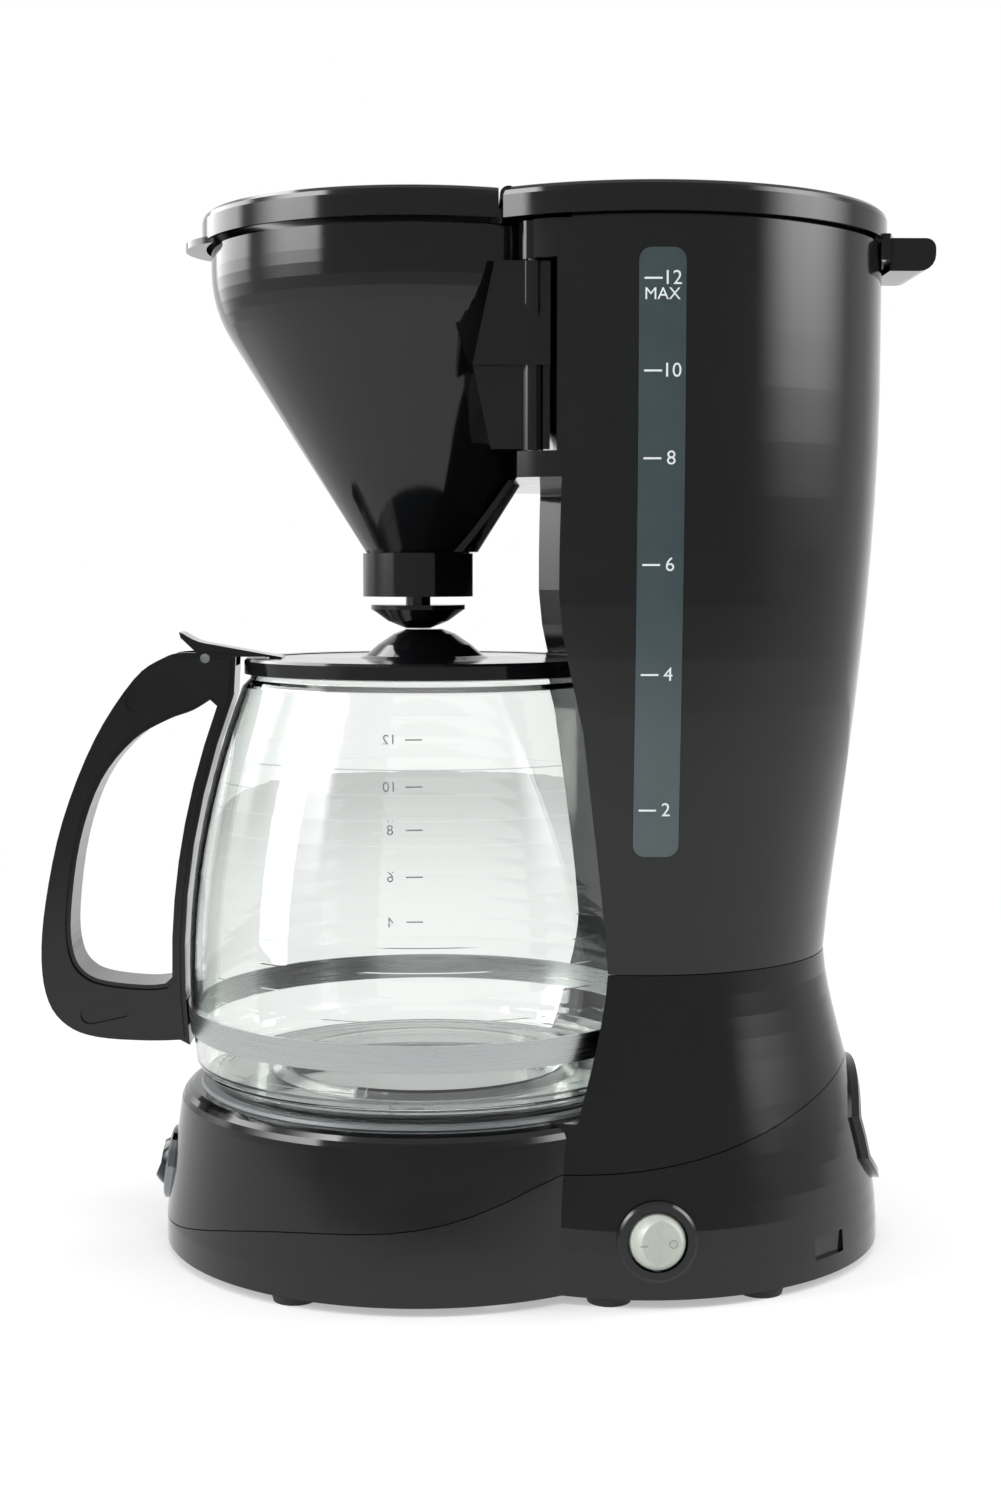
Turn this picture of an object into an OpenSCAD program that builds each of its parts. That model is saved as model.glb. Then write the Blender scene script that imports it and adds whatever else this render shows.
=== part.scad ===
// Drip coffee maker with a swing-out filter holder, a water tank in the tower and a glass carafe.
// Millimetres. +Z is up, the handle points to -Y, the tank lies towards +Y.
// The origin is on the table, under the middle of the whole outline.

/* [Stance] */
// Y of the axis that carafe, hotplate and front lobe share
brew_y = -18; // [-21:0.5:-15]
// Y of the tower's axis
tower_y = 49; // [47:0.5:51]
// How far the filter holder's axis lies in front of the brew axis
holder_setback = 2; // [0:0.5:3]
// Height of the body's bottom edge above the table
foot_lift = 2.5; // [2:0.25:4]

/* [Base] */
// Radius of the front lobe at the bottom
base_r = 82.3; // [80.5:0.1:84]
// Radius of the front lobe under its rounded edge
base_top_r = 77.5; // [76.5:0.1:79]
// Height of the deck round the hotplate
deck_z = 51; // [48:0.5:54]
// Radius of the deck's rounded edge
deck_edge_r = 6; // [4:0.5:7]
// Width of the deck's ring round the hotplate
deck_ring = 8.3; // [8:0.1:10]
// Wall of the base mouldings
base_wall = 2.5; // [2:0.1:3]
// Height of the lowest straight band of the front lobe
base_band = 8; // [5:0.5:10]
// Height of the parting line at the front
parting_front_z = 9; // [8:0.5:11]
// Height of the parting line at the crease
parting_mid_z = 36.5; // [34:0.5:39]
// Height of the parting line at the rear
parting_rear_z = 62; // [60:0.5:66]
// Gap of the parting line
parting_gap = 0.3; // [0.2:0.05:0.5]
// Thickness of the bottom tray
tray_t = 2.5; // [2:0.25:3]
// Radius of a foot pad
foot_r = 7; // [6:0.5:8]
// Radius of the base screws' shanks
screw_r = 1.45; // [1.2:0.05:1.8]

/* [Tower] */
// Radius of the tower at the bottom
tower_base_r = 77; // [76:0.25:78.5]
// Radius of the tower's waist
waist_r = 59.3; // [58:0.1:61]
// Height of the waist
waist_z = 95; // [90:1:100]
// Radius of the tower at the top
tower_top_r = 74.5; // [73:0.1:75]
// Height over which the tower widens above the waist
tower_swell_h = 178; // [160:1:200]
// Height of the seam between the base housing and the tank
seam_z = 93.5; // [90:0.5:97]
// Height of the tank wall's top
tank_top_z = 309.6; // [300:0.1:318]
// Wall of the tank
tank_wall = 2.4; // [2:0.1:3]
// Radius of the carafe bay that is scooped out of the tower
bay_r = 79; // [77.5:0.25:80]
// Radius of the bay where it is narrowest, above the carafe
bay_neck_r = 76.4; // [76:0.1:77.5]
// Gauge window's width
gauge_w = 13.4; // [11:0.2:15]
// Gauge window's lower end
gauge_z0 = 129; // [120:1:140]
// Gauge window's upper end
gauge_z1 = 301; // [290:1:303]
// How far the gauge window's middle lies behind the tower's axis
gauge_shift = 0; // [-2:0.2:4]

/* [Lids] */
// Radius of the tank lid's rim
lid_r = 76; // [75:0.25:77]
// Radius of the brew cover's rim
cover_r = 66; // [65:0.25:67]
// Height of both rims
rim_h = 8.8; // [8:0.1:10]
// Gap between a rim and what lies under it
rim_gap = 1.2; // [0.8:0.1:1.5]
// Thickness of the lids' plates
lid_t = 2.5; // [2:0.1:3]
// Thickness of the rims
rim_t = 1.2; // [1:0.1:1.4]
// Y of the brew cover's rear face, where the lids part
cover_end_y = 3.8; // [3.2:0.1:4.4]
// Radius of the tank lid's hinge barrel
barrel_r = 2.5; // [2.2:0.1:2.6]
// Gap between the hinge barrel and the cover
barrel_gap = 0.3; // [0.2:0.05:0.5]
// Reach of the tank lid's lifting tab beyond the rim
tab_reach = 13.2; // [11:0.1:16]

/* [Filter holder] */
// Radius of the holder's mouth
mouth_r = 63.3; // [62.5:0.1:63.8]
// Radius of the shoulder between mouth and cone
shoulder_r = 38; // [34:0.5:42]
// Half angle of the cone
cone_angle = 32.3; // [31.5:0.1:33]
// Radius at the cone's lower end
throat_r = 16.1; // [15.5:0.1:16.5]
// Height of the cone's lower end
throat_z = 217; // [215:0.5:219]
// Wall of the holder
holder_wall = 2.2; // [1.8:0.1:2.6]
// Gap between the holder and the brew head behind it
nest_gap = 1.3; // [1:0.1:1.6]
// X of the holder's hinge pin
hinge_x = 59; // [58.5:0.1:60]
// Y of the holder's hinge pin
hinge_y = 13.5; // [13.1:0.1:13.9]
// Radius of the hinge knuckle
knuckle_r = 4; // [3.8:0.05:4.2]
// Radius of the holder's hinge pin
hinge_pin_r = 1.6; // [1.4:0.05:1.8]
// Running clearance of pins in their knuckles
pin_fit = 0.06; // [0.03:0.01:0.09]

/* [Drip stop] */
// Radius of the drip stop's housing
neck_r = 17.3; // [17:0.1:17.8]
// Height of the drip stop's housing
neck_h = 13.5; // [12:0.5:14]
// Travel of the drip stop from open to closed
stop_travel = 4; // [3:0.25:4]
// Radius of the drip stop's disc
disc_r = 14.8; // [13:0.1:16]
// Radius of the drip stop's stem
stem_r = 3.9; // [3.5:0.1:4.2]

/* [Carafe] */
// Largest radius of the glass
belly_r = 74.4; // [73:0.1:75]
// Height of the largest radius above the glass's foot
belly_h = 34.9; // [30:0.1:40]
// Radius of the arc of the glass's side
side_arc_r = 225; // [215:1:240]
// Height of the glass from its foot to the neck
glass_h = 126.5; // [124:0.5:128]
// Thickness of the glass
glass_t = 2; // [1.6:0.1:2.5]
// Gap between the hotplate and the glass
seat_gap = 0.2; // [0.1:0.05:0.3]
// Height of the metal band
band_h = 8.2; // [6:0.2:10]
// Thickness of the metal band
band_t = 0.7; // [0.5:0.05:0.8]
// How far the carafe's collar stands out from the glass's neck
collar_out = 2.2; // [1.8:0.1:2.8]
// Width of the handle's grip
grip_w = 21; // [18:0.5:24]
// How far the handle reaches out from the glass
handle_reach = 45.8; // [42:0.1:50]
// Height of the handle's lower end above the glass's foot
handle_low = 11.6; // [9:0.2:14]

/* [Switches] */
// Radius of a switch's bezel
bezel_r = 11.6; // [11:0.1:12.5]
// Radius of a rocker's ball shaped body
rocker_r = 8.5; // [8:0.1:8.8]
// Tilt of a rocker on each side of level
rocker_tilt = 8; // [6:0.5:9]
// Height of the power switch's middle
power_z = 19.5; // [17:0.5:21]
// Height of the keep-warm switch's middle
warm_z = 23; // [22:0.5:25]

/* [Hidden] */
plastic_black = "#17181a";
metal_grey = "#b9bcc0";
rubber_grey = "#4b4d50";
silicone = "#d9d6cf";
cut = 1;
far = 400;
fine = 96;
mid = 48;

holder_y = brew_y - holder_setback;
flare_bias = 0.85;
swell_bias = 1.2;
tray_z = foot_lift + 1;
tray_top = tray_z + tray_t;
tray_fit = 0.2;

tank_z0 = seam_z + parting_gap;
tank_floor_t = 3;
rim_z0 = tank_top_z + rim_gap;
rim_z1 = rim_z0 + rim_h;
plate_z0 = rim_z1 - lid_t;
lid_axis_z = plate_z0;
lid_axis_y = cover_end_y + barrel_gap + barrel_r;
lid_axis_span = 62;
ear_x = 38;
ear_w = 5;
ear_gap = 0.5;
lid_pin_r = 1.1;
lid_pin_l = 20;

head_fit = 0.3;
bay_top_r = bay_r - 0.2;
head_top_z = tank_top_z + 0.2;
holder_top_z = tank_top_z - 0.4;
shelf_z0 = throat_z + 21;
shelf_z1 = shelf_z0 + 7.4;
shelf_front_y = hinge_y - 4.5;
head_front_y = hinge_y + 6.5;
collar_band = 10.6;
collar_z0 = head_top_z - collar_band;
head_wall = 2.5;
knuckle_z0 = shelf_z1 + 0.3;
knuckle_z1 = collar_z0 - 0.4;
hinge_r = norm([hinge_x, hinge_y - holder_y]);
hinge_angle = atan2(hinge_y - holder_y, hinge_x);

tongue_t = 2.2;
tongue_z0 = head_top_z + 0.2;
arm_w = 14;
arm_z0 = head_top_z + 0.3;
arm_h = 3.8;
riser_y = bay_r + brew_y + 9;
riser_r = 4.2;

plate_top_z = deck_z + 1.4;
plate_t = 1.2;
plate_hole_r = base_top_r - deck_ring;
plate_r = plate_hole_r - 1.8;
plate_under_z = plate_top_z - plate_t;
glass_z0 = plate_top_z + seat_gap;
coil_r = 42;
heater_r = 4.2;
water_r = 4.6;
heater_z = plate_under_z - 0.2 - heater_r;
water_z = heater_z - heater_r - water_r + 1.6;
coil_gap = 70;
coil_end = [coil_r * sin(coil_gap / 2), coil_r * cos(coil_gap / 2)];
barb_r = 3.1;
barb_l = 16;
hose_r = 5;
hose_bore = barb_r + 0.1;
strap_t = 1.5;
strap_z = water_z - water_r - 0.1 - strap_t;
strap_w = 16;
strap_x = plate_hole_r + 1.8;
valve_x = -coil_end[0];
valve_y = riser_y + 8;
valve_r = 7;
valve_h = 11.5;
valve_z0 = tank_z0 - 0.1 - valve_h;

post_r = 4.2;
screw_margin = base_wall + post_r + 0.4;
rear_post_z = parting_rear_z + 8;
rear_post_r = tower_r(rear_post_z - 2) - base_wall - 1;
screw_places = [
  for (a = [-68, -112]) on_lobe(a, screw_margin),
  for (a = [15.5, 164.5]) on_lobe(a, screw_margin),
  for (a = [37, 143]) [rear_post_r * cos(a), tower_y + rear_post_r * sin(a)]
];
screw_tops = [
  for (i = [0:1]) deck_z - base_wall - 18,
  for (i = [0:1]) deck_z - base_wall,
  for (i = [0:1]) rear_post_z
];
foot_margin = foot_r;
foot_places = [
  for (a = [-30, 210]) on_lobe(a, foot_margin),
  for (a = [-11, 191]) on_tower(a, foot_margin),
  for (a = [27, 153]) on_tower(a, foot_margin)
];
well_w = 64;
well_z0 = 20;
well_z1 = 54;
well_depth = 24;
well_lip = 2.2;

stop_z0 = throat_z - neck_h;
stop_floor_t = 2;
stop_floor_z = stop_z0 + stop_floor_t;
spigot_r = 14;
spigot_h = 5;
spigot_bore = 12;
holder_floor_t = 3;
seal_t = 1.5;
seal_z0 = stop_floor_z + stop_travel + 0.1;
flange_z0 = seal_z0 + seal_t;
flange_t = 1.5;
flange_r = 8;
guide_r = 2.4;
spring_z0 = flange_z0 + flange_t;
spring_z1 = throat_z - 0.05;
spring_coil_r = 5;
spring_wire_r = 0.4;
spring_turns = 2.5;
disc_top_z = stop_z0 - 2.6;
disc_edge_t = 1.4;
lid_top_gap = 0.3;

collar_z0_c = glass_z0 + glass_h;
collar_h = 5.4;
collar_top_z = collar_z0_c + collar_h;
neck_glass_r = glass_r(collar_z0_c - 3.4) - 2.8;
collar_r = neck_glass_r + collar_out;
lid_plug_r = neck_glass_r - glass_t - 2.4;
dome_r0 = 18.5;
dome_r1 = 5.8;
disc_low_z = disc_top_z - disc_edge_t - 5.9;
dome_top_z = disc_low_z - lid_top_gap;
lid_pin_y = brew_y - collar_r - 11.5;
lid_pin_z = collar_top_z - 0.1;
band_z0 = glass_z0 + 15.7;

gauge_y = tower_y + gauge_shift;
power_y = tower_y;
switch_body_r = 10;
switch_body_l = 17;
seat_depth = 1.2;
bezel_t = 2.8;
rocker_pivot = -1.8;
axle_r = 1;
warm_draft = atan((base_r - base_top_r) / (deck_z - deck_edge_r - foot_lift - base_band));
power_draft = 6.5;

// Smooth step from 0 to 1.
function ease(t) = t * t * (3 - 2 * t);
// Quick rise that levels out at 1.
function swell(t) = t >= 1 ? 1 : 1 - pow(1 - pow(t, swell_bias), 2);
// Radius of the tower at a height.
function tower_r(z) = z < waist_z
  ? waist_r + (tower_base_r - waist_r) * ease(min(1, pow((waist_z - z) / (waist_z - foot_lift), flare_bias)))
  : waist_r + (tower_top_r - waist_r) * swell((z - waist_z) / tower_swell_h);
// Radius of the front lobe at a height below its rounded edge.
function lobe_r(z) = base_r - (base_r - base_top_r)
  * max(0, z - foot_lift - base_band) / (deck_z - deck_edge_r - foot_lift - base_band);
// A place at an angle, so far inside the lobe's or the tower's foot line.
function on_lobe(a, inside) = [(base_r - inside) * cos(a), brew_y + (base_r - inside) * sin(a)];
function on_tower(a, inside) = [(tower_base_r - inside) * cos(a), tower_y + (tower_base_r - inside) * sin(a)];
// Outer radius of the glass at a height.
function glass_r(z) = belly_r - pow(z - glass_z0 - belly_h, 2) / (2 * side_arc_r);

// The parting line of the base: a wave along the front lobe, then a sag along the tower.
parting_y0 = brew_y - base_r;
parting_y1 = brew_y + 37;
parting_y2 = tower_y + tower_base_r - 8;
parting_wave = 3.3;
parting_sag = 5.8;
function parting_z(y) = y < parting_y1
  ? let (t = max(0, (y - parting_y0) / (parting_y1 - parting_y0)))
    parting_front_z + (parting_mid_z - parting_front_z) * t + parting_wave * sin(360 * t)
  : let (t = min(1, (y - parting_y1) / (parting_y2 - parting_y1)))
    parting_mid_z + (parting_rear_z - parting_mid_z) * t - parting_sag * sin(180 * t);

// Outline of the cone, its shoulder and its mouth, grown outwards by g.
shoulder_x = mouth_r - shoulder_r;
cone_drop = (mouth_r - shoulder_r * (1 - cos(cone_angle)) - throat_r) / tan(cone_angle);
shoulder_z = throat_z + cone_drop + shoulder_r * sin(cone_angle);
function cone_side(g, top) = concat(
  [[mouth_r + g, top]],
  [for (i = [0:6]) let (a = cone_angle * i / 6)
    [shoulder_x + (shoulder_r + g) * cos(a), shoulder_z - (shoulder_r + g) * sin(a)]],
  [[throat_r + g / cos(cone_angle), throat_z]]
);
function cone_r(z) = throat_r + (z - throat_z) * tan(cone_angle);

module revolve(points) { rotate_extrude($fn = fine) polygon(points); }
module at_brew(z = 0) { translate([0, brew_y, z]) children(); }
module at_holder(z = 0) { translate([0, holder_y, z]) children(); }
module at_tower(z = 0) { translate([0, tower_y, z]) children(); }
module at_hinge(z = 0) { translate([hinge_x, hinge_y, z]) children(); }
// A YZ outline made solid along X, centred on X = x.
module side_plate(points, w, x = 0) {
  translate([x - w / 2, 0, 0]) rotate([90, 0, 90]) linear_extrude(height = w) polygon(points);
}
module keep_behind(y) { translate([-far / 2, y, -cut]) cube([far, far, far]); }
module slab(z0, z1) { translate([-far / 2, -far / 2, z0]) cube([far, far, z1 - z0]); }
// A tube or rod along a path of points with ball shaped corners.
module run(path, r) {
  for (i = [0:len(path) - 2])
    let (d = path[i + 1] - path[i], l = norm(d))
      translate(path[i]) rotate([0, acos(d[2] / l), atan2(d[1], d[0])]) cylinder(r = r, h = l, $fn = mid);
  for (i = [1:1:len(path) - 2]) translate(path[i]) sphere(r = r, $fn = mid);
}
module mirrored_x() {
  children();
  mirror([1, 0, 0]) children();
}

// The tower's solid form between two heights, shrunk by an inset.
module tower_form(inset, z0, z1, steps = 14) {
  at_tower() revolve(concat(
    [[0, z0]],
    [for (i = [0:steps]) let (z = z0 + (z1 - z0) * i / steps) [tower_r(max(z, foot_lift)) - inset, z]],
    [[0, z1]]
  ));
}
// The front lobe's solid form with its rounded deck edge, shrunk by an inset.
module lobe_form(inset, z0) {
  edge = max(deck_edge_r - inset, 1);
  top = deck_z - inset;
  at_brew() revolve(concat(
    [[0, z0], [base_r - inset, z0], [base_r - inset, foot_lift + base_band], [base_top_r - inset, top - edge]],
    [for (a = [18:18:90]) [base_top_r - inset - edge + edge * cos(a), top - edge + edge * sin(a)]],
    [[0, top]]
  ));
}
module bay(grow) {
  at_brew() revolve([
    [0, deck_z - grow], [bay_r + grow, deck_z - grow], [bay_r + grow, 165], [bay_neck_r + grow, 193],
    [bay_neck_r + grow, 205], [bay_top_r + grow, shelf_z0 - 1], [bay_top_r + grow, far], [0, far]
  ]);
}
module base_form(inset, z0, z1) {
  lobe_form(inset, z0);
  difference() {
    tower_form(inset, z0, z1);
    bay(inset);
  }
}
module below_parting(gap) {
  y0 = parting_y0 - 10;
  y1 = tower_y + tower_base_r + 10;
  n = 30;
  side_plate(concat(
    [[y0, -5]],
    [for (i = [0:n]) let (y = y0 + (y1 - y0) * i / n) [y, parting_z(y) - gap]],
    [[y1, -5]]
  ), 2 * base_r + 20);
}

module at_power_switch() {
  x = sqrt(pow(tower_r(power_z), 2) - pow(power_y - tower_y, 2));
  translate([x, power_y, power_z]) rotate([0, 90 - power_draft, 0]) children();
}
module at_warm_switch() {
  translate([0, brew_y - lobe_r(warm_z), warm_z]) rotate([90 - warm_draft, 0, 0]) children();
}
// What a panel loses for a round rocker switch: a flat seat and a hole.
module switch_cut() {
  translate([0, 0, -seat_depth]) cylinder(r = bezel_r + 0.15, h = 20, $fn = mid);
  translate([0, 0, -8]) cylinder(r = switch_body_r + 0.15, h = 20, $fn = mid);
}
module switch_case() {
  difference() {
    union() {
      translate([0, 0, -seat_depth]) cylinder(r = bezel_r, h = bezel_t - 0.6, $fn = mid);
      translate([0, 0, bezel_t - 0.6 - seat_depth])
        cylinder(r1 = bezel_r, r2 = bezel_r - 0.8, h = 0.6, $fn = mid);
      translate([0, 0, -switch_body_l]) cylinder(r = switch_body_r, h = switch_body_l, $fn = mid);
      for (y = [-4, 4]) translate([-2.4, y - 0.4, -switch_body_l - 6]) cube([4.8, 0.8, 7]);
    }
    translate([0, 0, rocker_pivot]) sphere(r = rocker_r + 0.25, $fn = mid);
    translate([0, 0, rocker_pivot]) cylinder(r = rocker_r + 0.25, h = 20, $fn = mid);
    translate([0, 0, rocker_pivot]) rotate([0, 90, 0])
      cylinder(r = axle_r + pin_fit, h = 2 * switch_body_r + 2, center = true, $fn = mid);
  }
}
// A rocker cut from a ball round its own axle, so that it turns freely in the round bezel.
module rocker() {
  rim = 6.3;
  translate([0, 0, rocker_pivot]) rotate([-rocker_tilt, 0, 0]) {
    intersection() {
      sphere(r = rocker_r, $fn = mid);
      side_plate([[-far, -4], [far, -4], [9, rim + 0.4], [0, rim - 0.8], [-9, rim + 0.4]], 3 * rocker_r);
    }
    rotate([0, 90, 0]) cylinder(r = axle_r, h = 2 * switch_body_r - 1, center = true, $fn = mid);
  }
}

module base_tray() {
  color(plastic_black) difference() {
    intersection() {
      base_form(base_wall + tray_fit, 0, seam_z);
      slab(tray_z, tray_top);
    }
    for (p = screw_places) translate([p[0], p[1], 0]) cylinder(r = screw_r + 0.3, h = 20, $fn = mid);
    for (p = foot_places) translate([p[0], p[1], 0]) cylinder(r = 3.1, h = 20, $fn = mid);
    at_brew() for (i = [-3:3]) translate([i * 9 - 1.5, -22, 0]) cube([3, 44, 20]);
    for (i = [-2:2]) translate([i * 9 - 1.5, tower_y - 8, 0]) cube([3, 26, 20]);
  }
}
module feet() {
  color(rubber_grey) for (p = foot_places) translate([p[0], p[1], 0]) {
    cylinder(r1 = foot_r - 0.6, r2 = foot_r, h = foot_lift - 0.1, $fn = mid);
    cylinder(r = 4.2, h = tray_z - 0.1, $fn = mid);
    cylinder(r = 3, h = tray_top + 1.5, $fn = mid);
    translate([0, 0, tray_top + 0.1]) cylinder(r1 = 3.8, r2 = 3, h = 1.6, $fn = mid);
  }
}
module base_screws() {
  color(metal_grey) for (p = screw_places) translate([p[0], p[1], 0]) difference() {
    union() {
      translate([0, 0, tray_z - 1.6]) cylinder(r = 3.2, h = 1.55, $fn = mid);
      translate([0, 0, tray_z - 0.5]) cylinder(r = screw_r, h = 14, $fn = mid);
    }
    for (a = [0, 90]) rotate([0, 0, a]) translate([-2, -0.4, tray_z - 1.7]) cube([4, 0.8, 0.9]);
  }
}
module cord_opening(grow) {
  h = (well_z1 - well_z0) / 2 + grow;
  w = well_w / 2 + grow;
  arc = (w * w + h * h) / (2 * h);
  translate([0, tower_y, (well_z0 + well_z1) / 2]) rotate([-90, 0, 0]) linear_extrude(height = 120)
    intersection() {
      translate([0, arc - h]) circle(r = arc, $fn = fine);
      translate([0, h - arc]) circle(r = arc, $fn = fine);
      square([2 * w - 10, 3 * h], center = true);
    }
}
module base_skirt() {
  color(plastic_black) difference() {
    union() {
      intersection() {
        base_form(0, foot_lift, seam_z);
        below_parting(parting_gap / 2);
      }
      intersection() {
        tower_form(-well_lip, well_z0 - 8, well_z1 + 8, 4);
        cord_opening(2.4);
        keep_behind(tower_y + 40);
      }
    }
    base_form(base_wall, -cut, seam_z + cut);
    at_power_switch() switch_cut();
    cord_opening(0);
    translate([0, tower_y, foot_lift + 8]) rotate([-90, 0, 0]) cylinder(r = 4, h = 120, $fn = mid);
    for (s = [-1, 1]) rotate_about_tower(s * 44.5) translate([tower_r(11) - 1.2, -7, 8]) cube([20, 14, 6.5]);
  }
}
module rotate_about_tower(a) { at_tower() rotate([0, 0, a > 0 ? a : 180 + a]) children(); }
module deck_housing() {
  color(plastic_black) difference() {
    union() {
      difference() {
        base_form(0, foot_lift, seam_z);
        base_form(base_wall, -cut, seam_z + cut);
      }
      intersection() {
        for (i = [0:len(screw_places) - 1]) let (p = screw_places[i])
          translate([p[0], p[1], tray_top + 0.1])
            cylinder(r = post_r, h = screw_tops[i] - tray_top, $fn = mid);
        base_form(base_wall / 2, 0, seam_z);
      }
    }
    difference() {
      below_parting(-parting_gap / 2);
      base_form(base_wall + 0.2, -cut, seam_z + cut);
    }
    for (p = screw_places) translate([p[0], p[1], 0])
      cylinder(r = screw_r + 0.05, h = tray_top + 14, $fn = mid);
    at_brew(deck_z - 10) cylinder(r = plate_hole_r, h = 20, $fn = fine);
    at_warm_switch() switch_cut();
  }
}
module cord_well() {
  color(plastic_black) difference() {
    intersection() {
      translate([-well_w / 2 - 3, tower_y + tower_base_r - well_depth - 6, well_z0 - 3])
        cube([well_w + 6, 60, well_z1 - well_z0 + 6]);
      base_form(base_wall + 0.1, 0, seam_z);
      below_parting(parting_gap);
    }
    translate([-well_w / 2 - 1, tower_y + tower_base_r - well_depth - 4, well_z0 - 1])
      cube([well_w + 2, 60, well_z1 - well_z0 + 2]);
  }
}
module terminal_block() {
  color("#e8e4d8") difference() {
    translate([-14, tower_y - 30, tray_top + 0.1]) cube([28, 12, 11]);
    for (i = [-1:1]) translate([i * 8.5, tower_y - 24, tray_top + 4]) cylinder(r = 2, h = 20, $fn = mid);
    for (i = [-1:1]) translate([i * 8.5, tower_y - 50, tray_top + 4.5]) rotate([-90, 0, 0])
      cylinder(r = 1.8, h = 60, $fn = mid);
  }
}

module hotplate() {
  color("#3a3b3e") at_brew() revolve([
    [0, plate_under_z], [plate_r - plate_t, plate_under_z], [plate_r - plate_t, deck_z - 7],
    [plate_r, deck_z - 7], [plate_r, plate_top_z - 0.8], [plate_r - 0.8, plate_top_z], [0, plate_top_z]
  ]);
}
module hotplate_seal() {
  inner = plate_r + 0.1;
  outer = plate_hole_r - 0.1;
  color(metal_grey) at_brew() revolve([
    [inner, deck_z - 5], [outer, deck_z - 5], [outer, deck_z + 0.05], [outer + 2.1, deck_z + 0.05],
    [outer + 1.6, deck_z + 1], [inner, deck_z + 1]
  ]);
}
module heating_element() {
  color("#c9cbcc") at_brew() difference() {
    union() {
      rotate([0, 0, 90 + coil_gap / 2]) rotate_extrude(angle = 360 - coil_gap, $fn = mid) {
        translate([coil_r, heater_z]) circle(r = heater_r, $fn = 24);
        translate([coil_r, water_z]) circle(r = water_r, $fn = 24);
      }
      for (s = [-1, 1]) translate([s * coil_end[0], coil_end[1], water_z]) rotate([-90, 0, 0]) {
        translate([0, 0, -5]) cylinder(r = water_r + 0.6, h = 9, $fn = mid);
        cylinder(r = barb_r, h = barb_l, $fn = mid);
      }
    }
    for (s = [-1, 1]) translate([s * coil_end[0], coil_end[1], water_z]) rotate([-90, 0, 0])
      cylinder(r = barb_r - 1, h = barb_l + cut, $fn = mid);
  }
}
module element_bracket() {
  color(metal_grey) at_brew() {
    translate([-strap_x, -strap_w / 2, strap_z]) cube([2 * strap_x, strap_w, strap_t]);
    mirrored_x() translate([strap_x - strap_t, -strap_w / 2, strap_z])
      cube([strap_t, strap_w, deck_z - base_wall - 0.1 - strap_z]);
    translate([0, 0, strap_z + strap_t - 0.1])
      cylinder(r = 5, h = heater_z - 6 - strap_z - strap_t, $fn = mid);
  }
}
module thermostat() {
  z0 = heater_z - 6;
  color("#d8d2c0") at_brew() difference() {
    union() {
      translate([0, 0, z0]) cylinder(r = 8, h = plate_under_z - 0.1 - z0, $fn = mid);
      for (s = [-1, 1]) translate([s * 10 - 3, -3, z0 + 1]) cube([6, 6, 0.8]);
    }
    translate([0, 0, plate_under_z - 1]) cylinder(r = 6, h = 3, $fn = mid);
  }
}
module thermal_fuses() {
  color("#efe9da") at_brew() for (s = [-1, 1]) translate([s * 24, 0, strap_z + strap_t + 2.7]) {
    rotate([90, 0, 0]) cylinder(r = 2.6, h = 22, center = true, $fn = mid);
    rotate([90, 0, 0]) cylinder(r = 0.6, h = 34, center = true, $fn = mid);
  }
}
module check_valve() {
  color("#e9e9e6") translate([valve_x, valve_y, 0]) difference() {
    union() {
      translate([0, 0, valve_z0]) cylinder(r = valve_r, h = valve_h, $fn = mid);
      translate([0, 0, valve_z0 + valve_h - 1]) cylinder(r = 3.9, h = 4.5, $fn = mid);
      translate([0, 0, valve_z0 - 10]) cylinder(r = barb_r, h = 11, $fn = mid);
    }
    translate([0, 0, valve_z0 - 11]) cylinder(r = 1.9, h = 40, $fn = mid);
  }
}
module hose(path) {
  difference() {
    run(path, hose_r);
    last = len(path) - 1;
    d0 = (path[0] - path[1]) / norm(path[0] - path[1]);
    d1 = (path[last] - path[last - 1]) / norm(path[last] - path[last - 1]);
    run(concat([path[0] + d0], [for (i = [1:1:last - 1]) path[i]], [path[last] + d1]), hose_bore);
  }
}
hose_y0 = brew_y + coil_end[1] + water_r + 1;
module cold_hose() {
  color(silicone) hose([
    [valve_x, valve_y, valve_z0 - 0.3], [valve_x, valve_y, water_z], [valve_x, hose_y0, water_z]
  ]);
}
module hot_hose() {
  color(silicone) hose([
    [coil_end[0], hose_y0, water_z], [coil_end[0], riser_y, water_z], [0, riser_y, water_z],
    [0, riser_y, water_z + 26]
  ]);
}
module hose_clips() {
  module clip() { difference() {
    cylinder(r = hose_r + 1, h = 3, $fn = mid);
    translate([0, 0, -cut]) cylinder(r = hose_r + 0.05, h = 5, $fn = mid);
  } }
  color(metal_grey) {
    for (s = [-1, 1]) translate([s * coil_end[0], hose_y0 + 3, water_z]) rotate([-90, 0, 0]) clip();
    translate([valve_x, valve_y, valve_z0 - 6]) clip();
    translate([0, riser_y, water_z + 20]) clip();
  }
}
module riser_tube() {
  z0 = water_z + 12;
  color("#e9e9e6") translate([0, riser_y, 0]) difference() {
    union() {
      translate([0, 0, z0]) cylinder(r = barb_r, h = 20, $fn = mid);
      translate([0, 0, water_z + 27]) cylinder(r = riser_r, h = arm_z0 - water_z - 27.1, $fn = mid);
      translate([0, 0, tank_z0 - 3]) cylinder(r = riser_r + 2.5, h = 2.9, $fn = mid);
    }
    translate([0, 0, z0 - cut]) cylinder(r = barb_r - 1, h = far, $fn = mid);
  }
}
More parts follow.
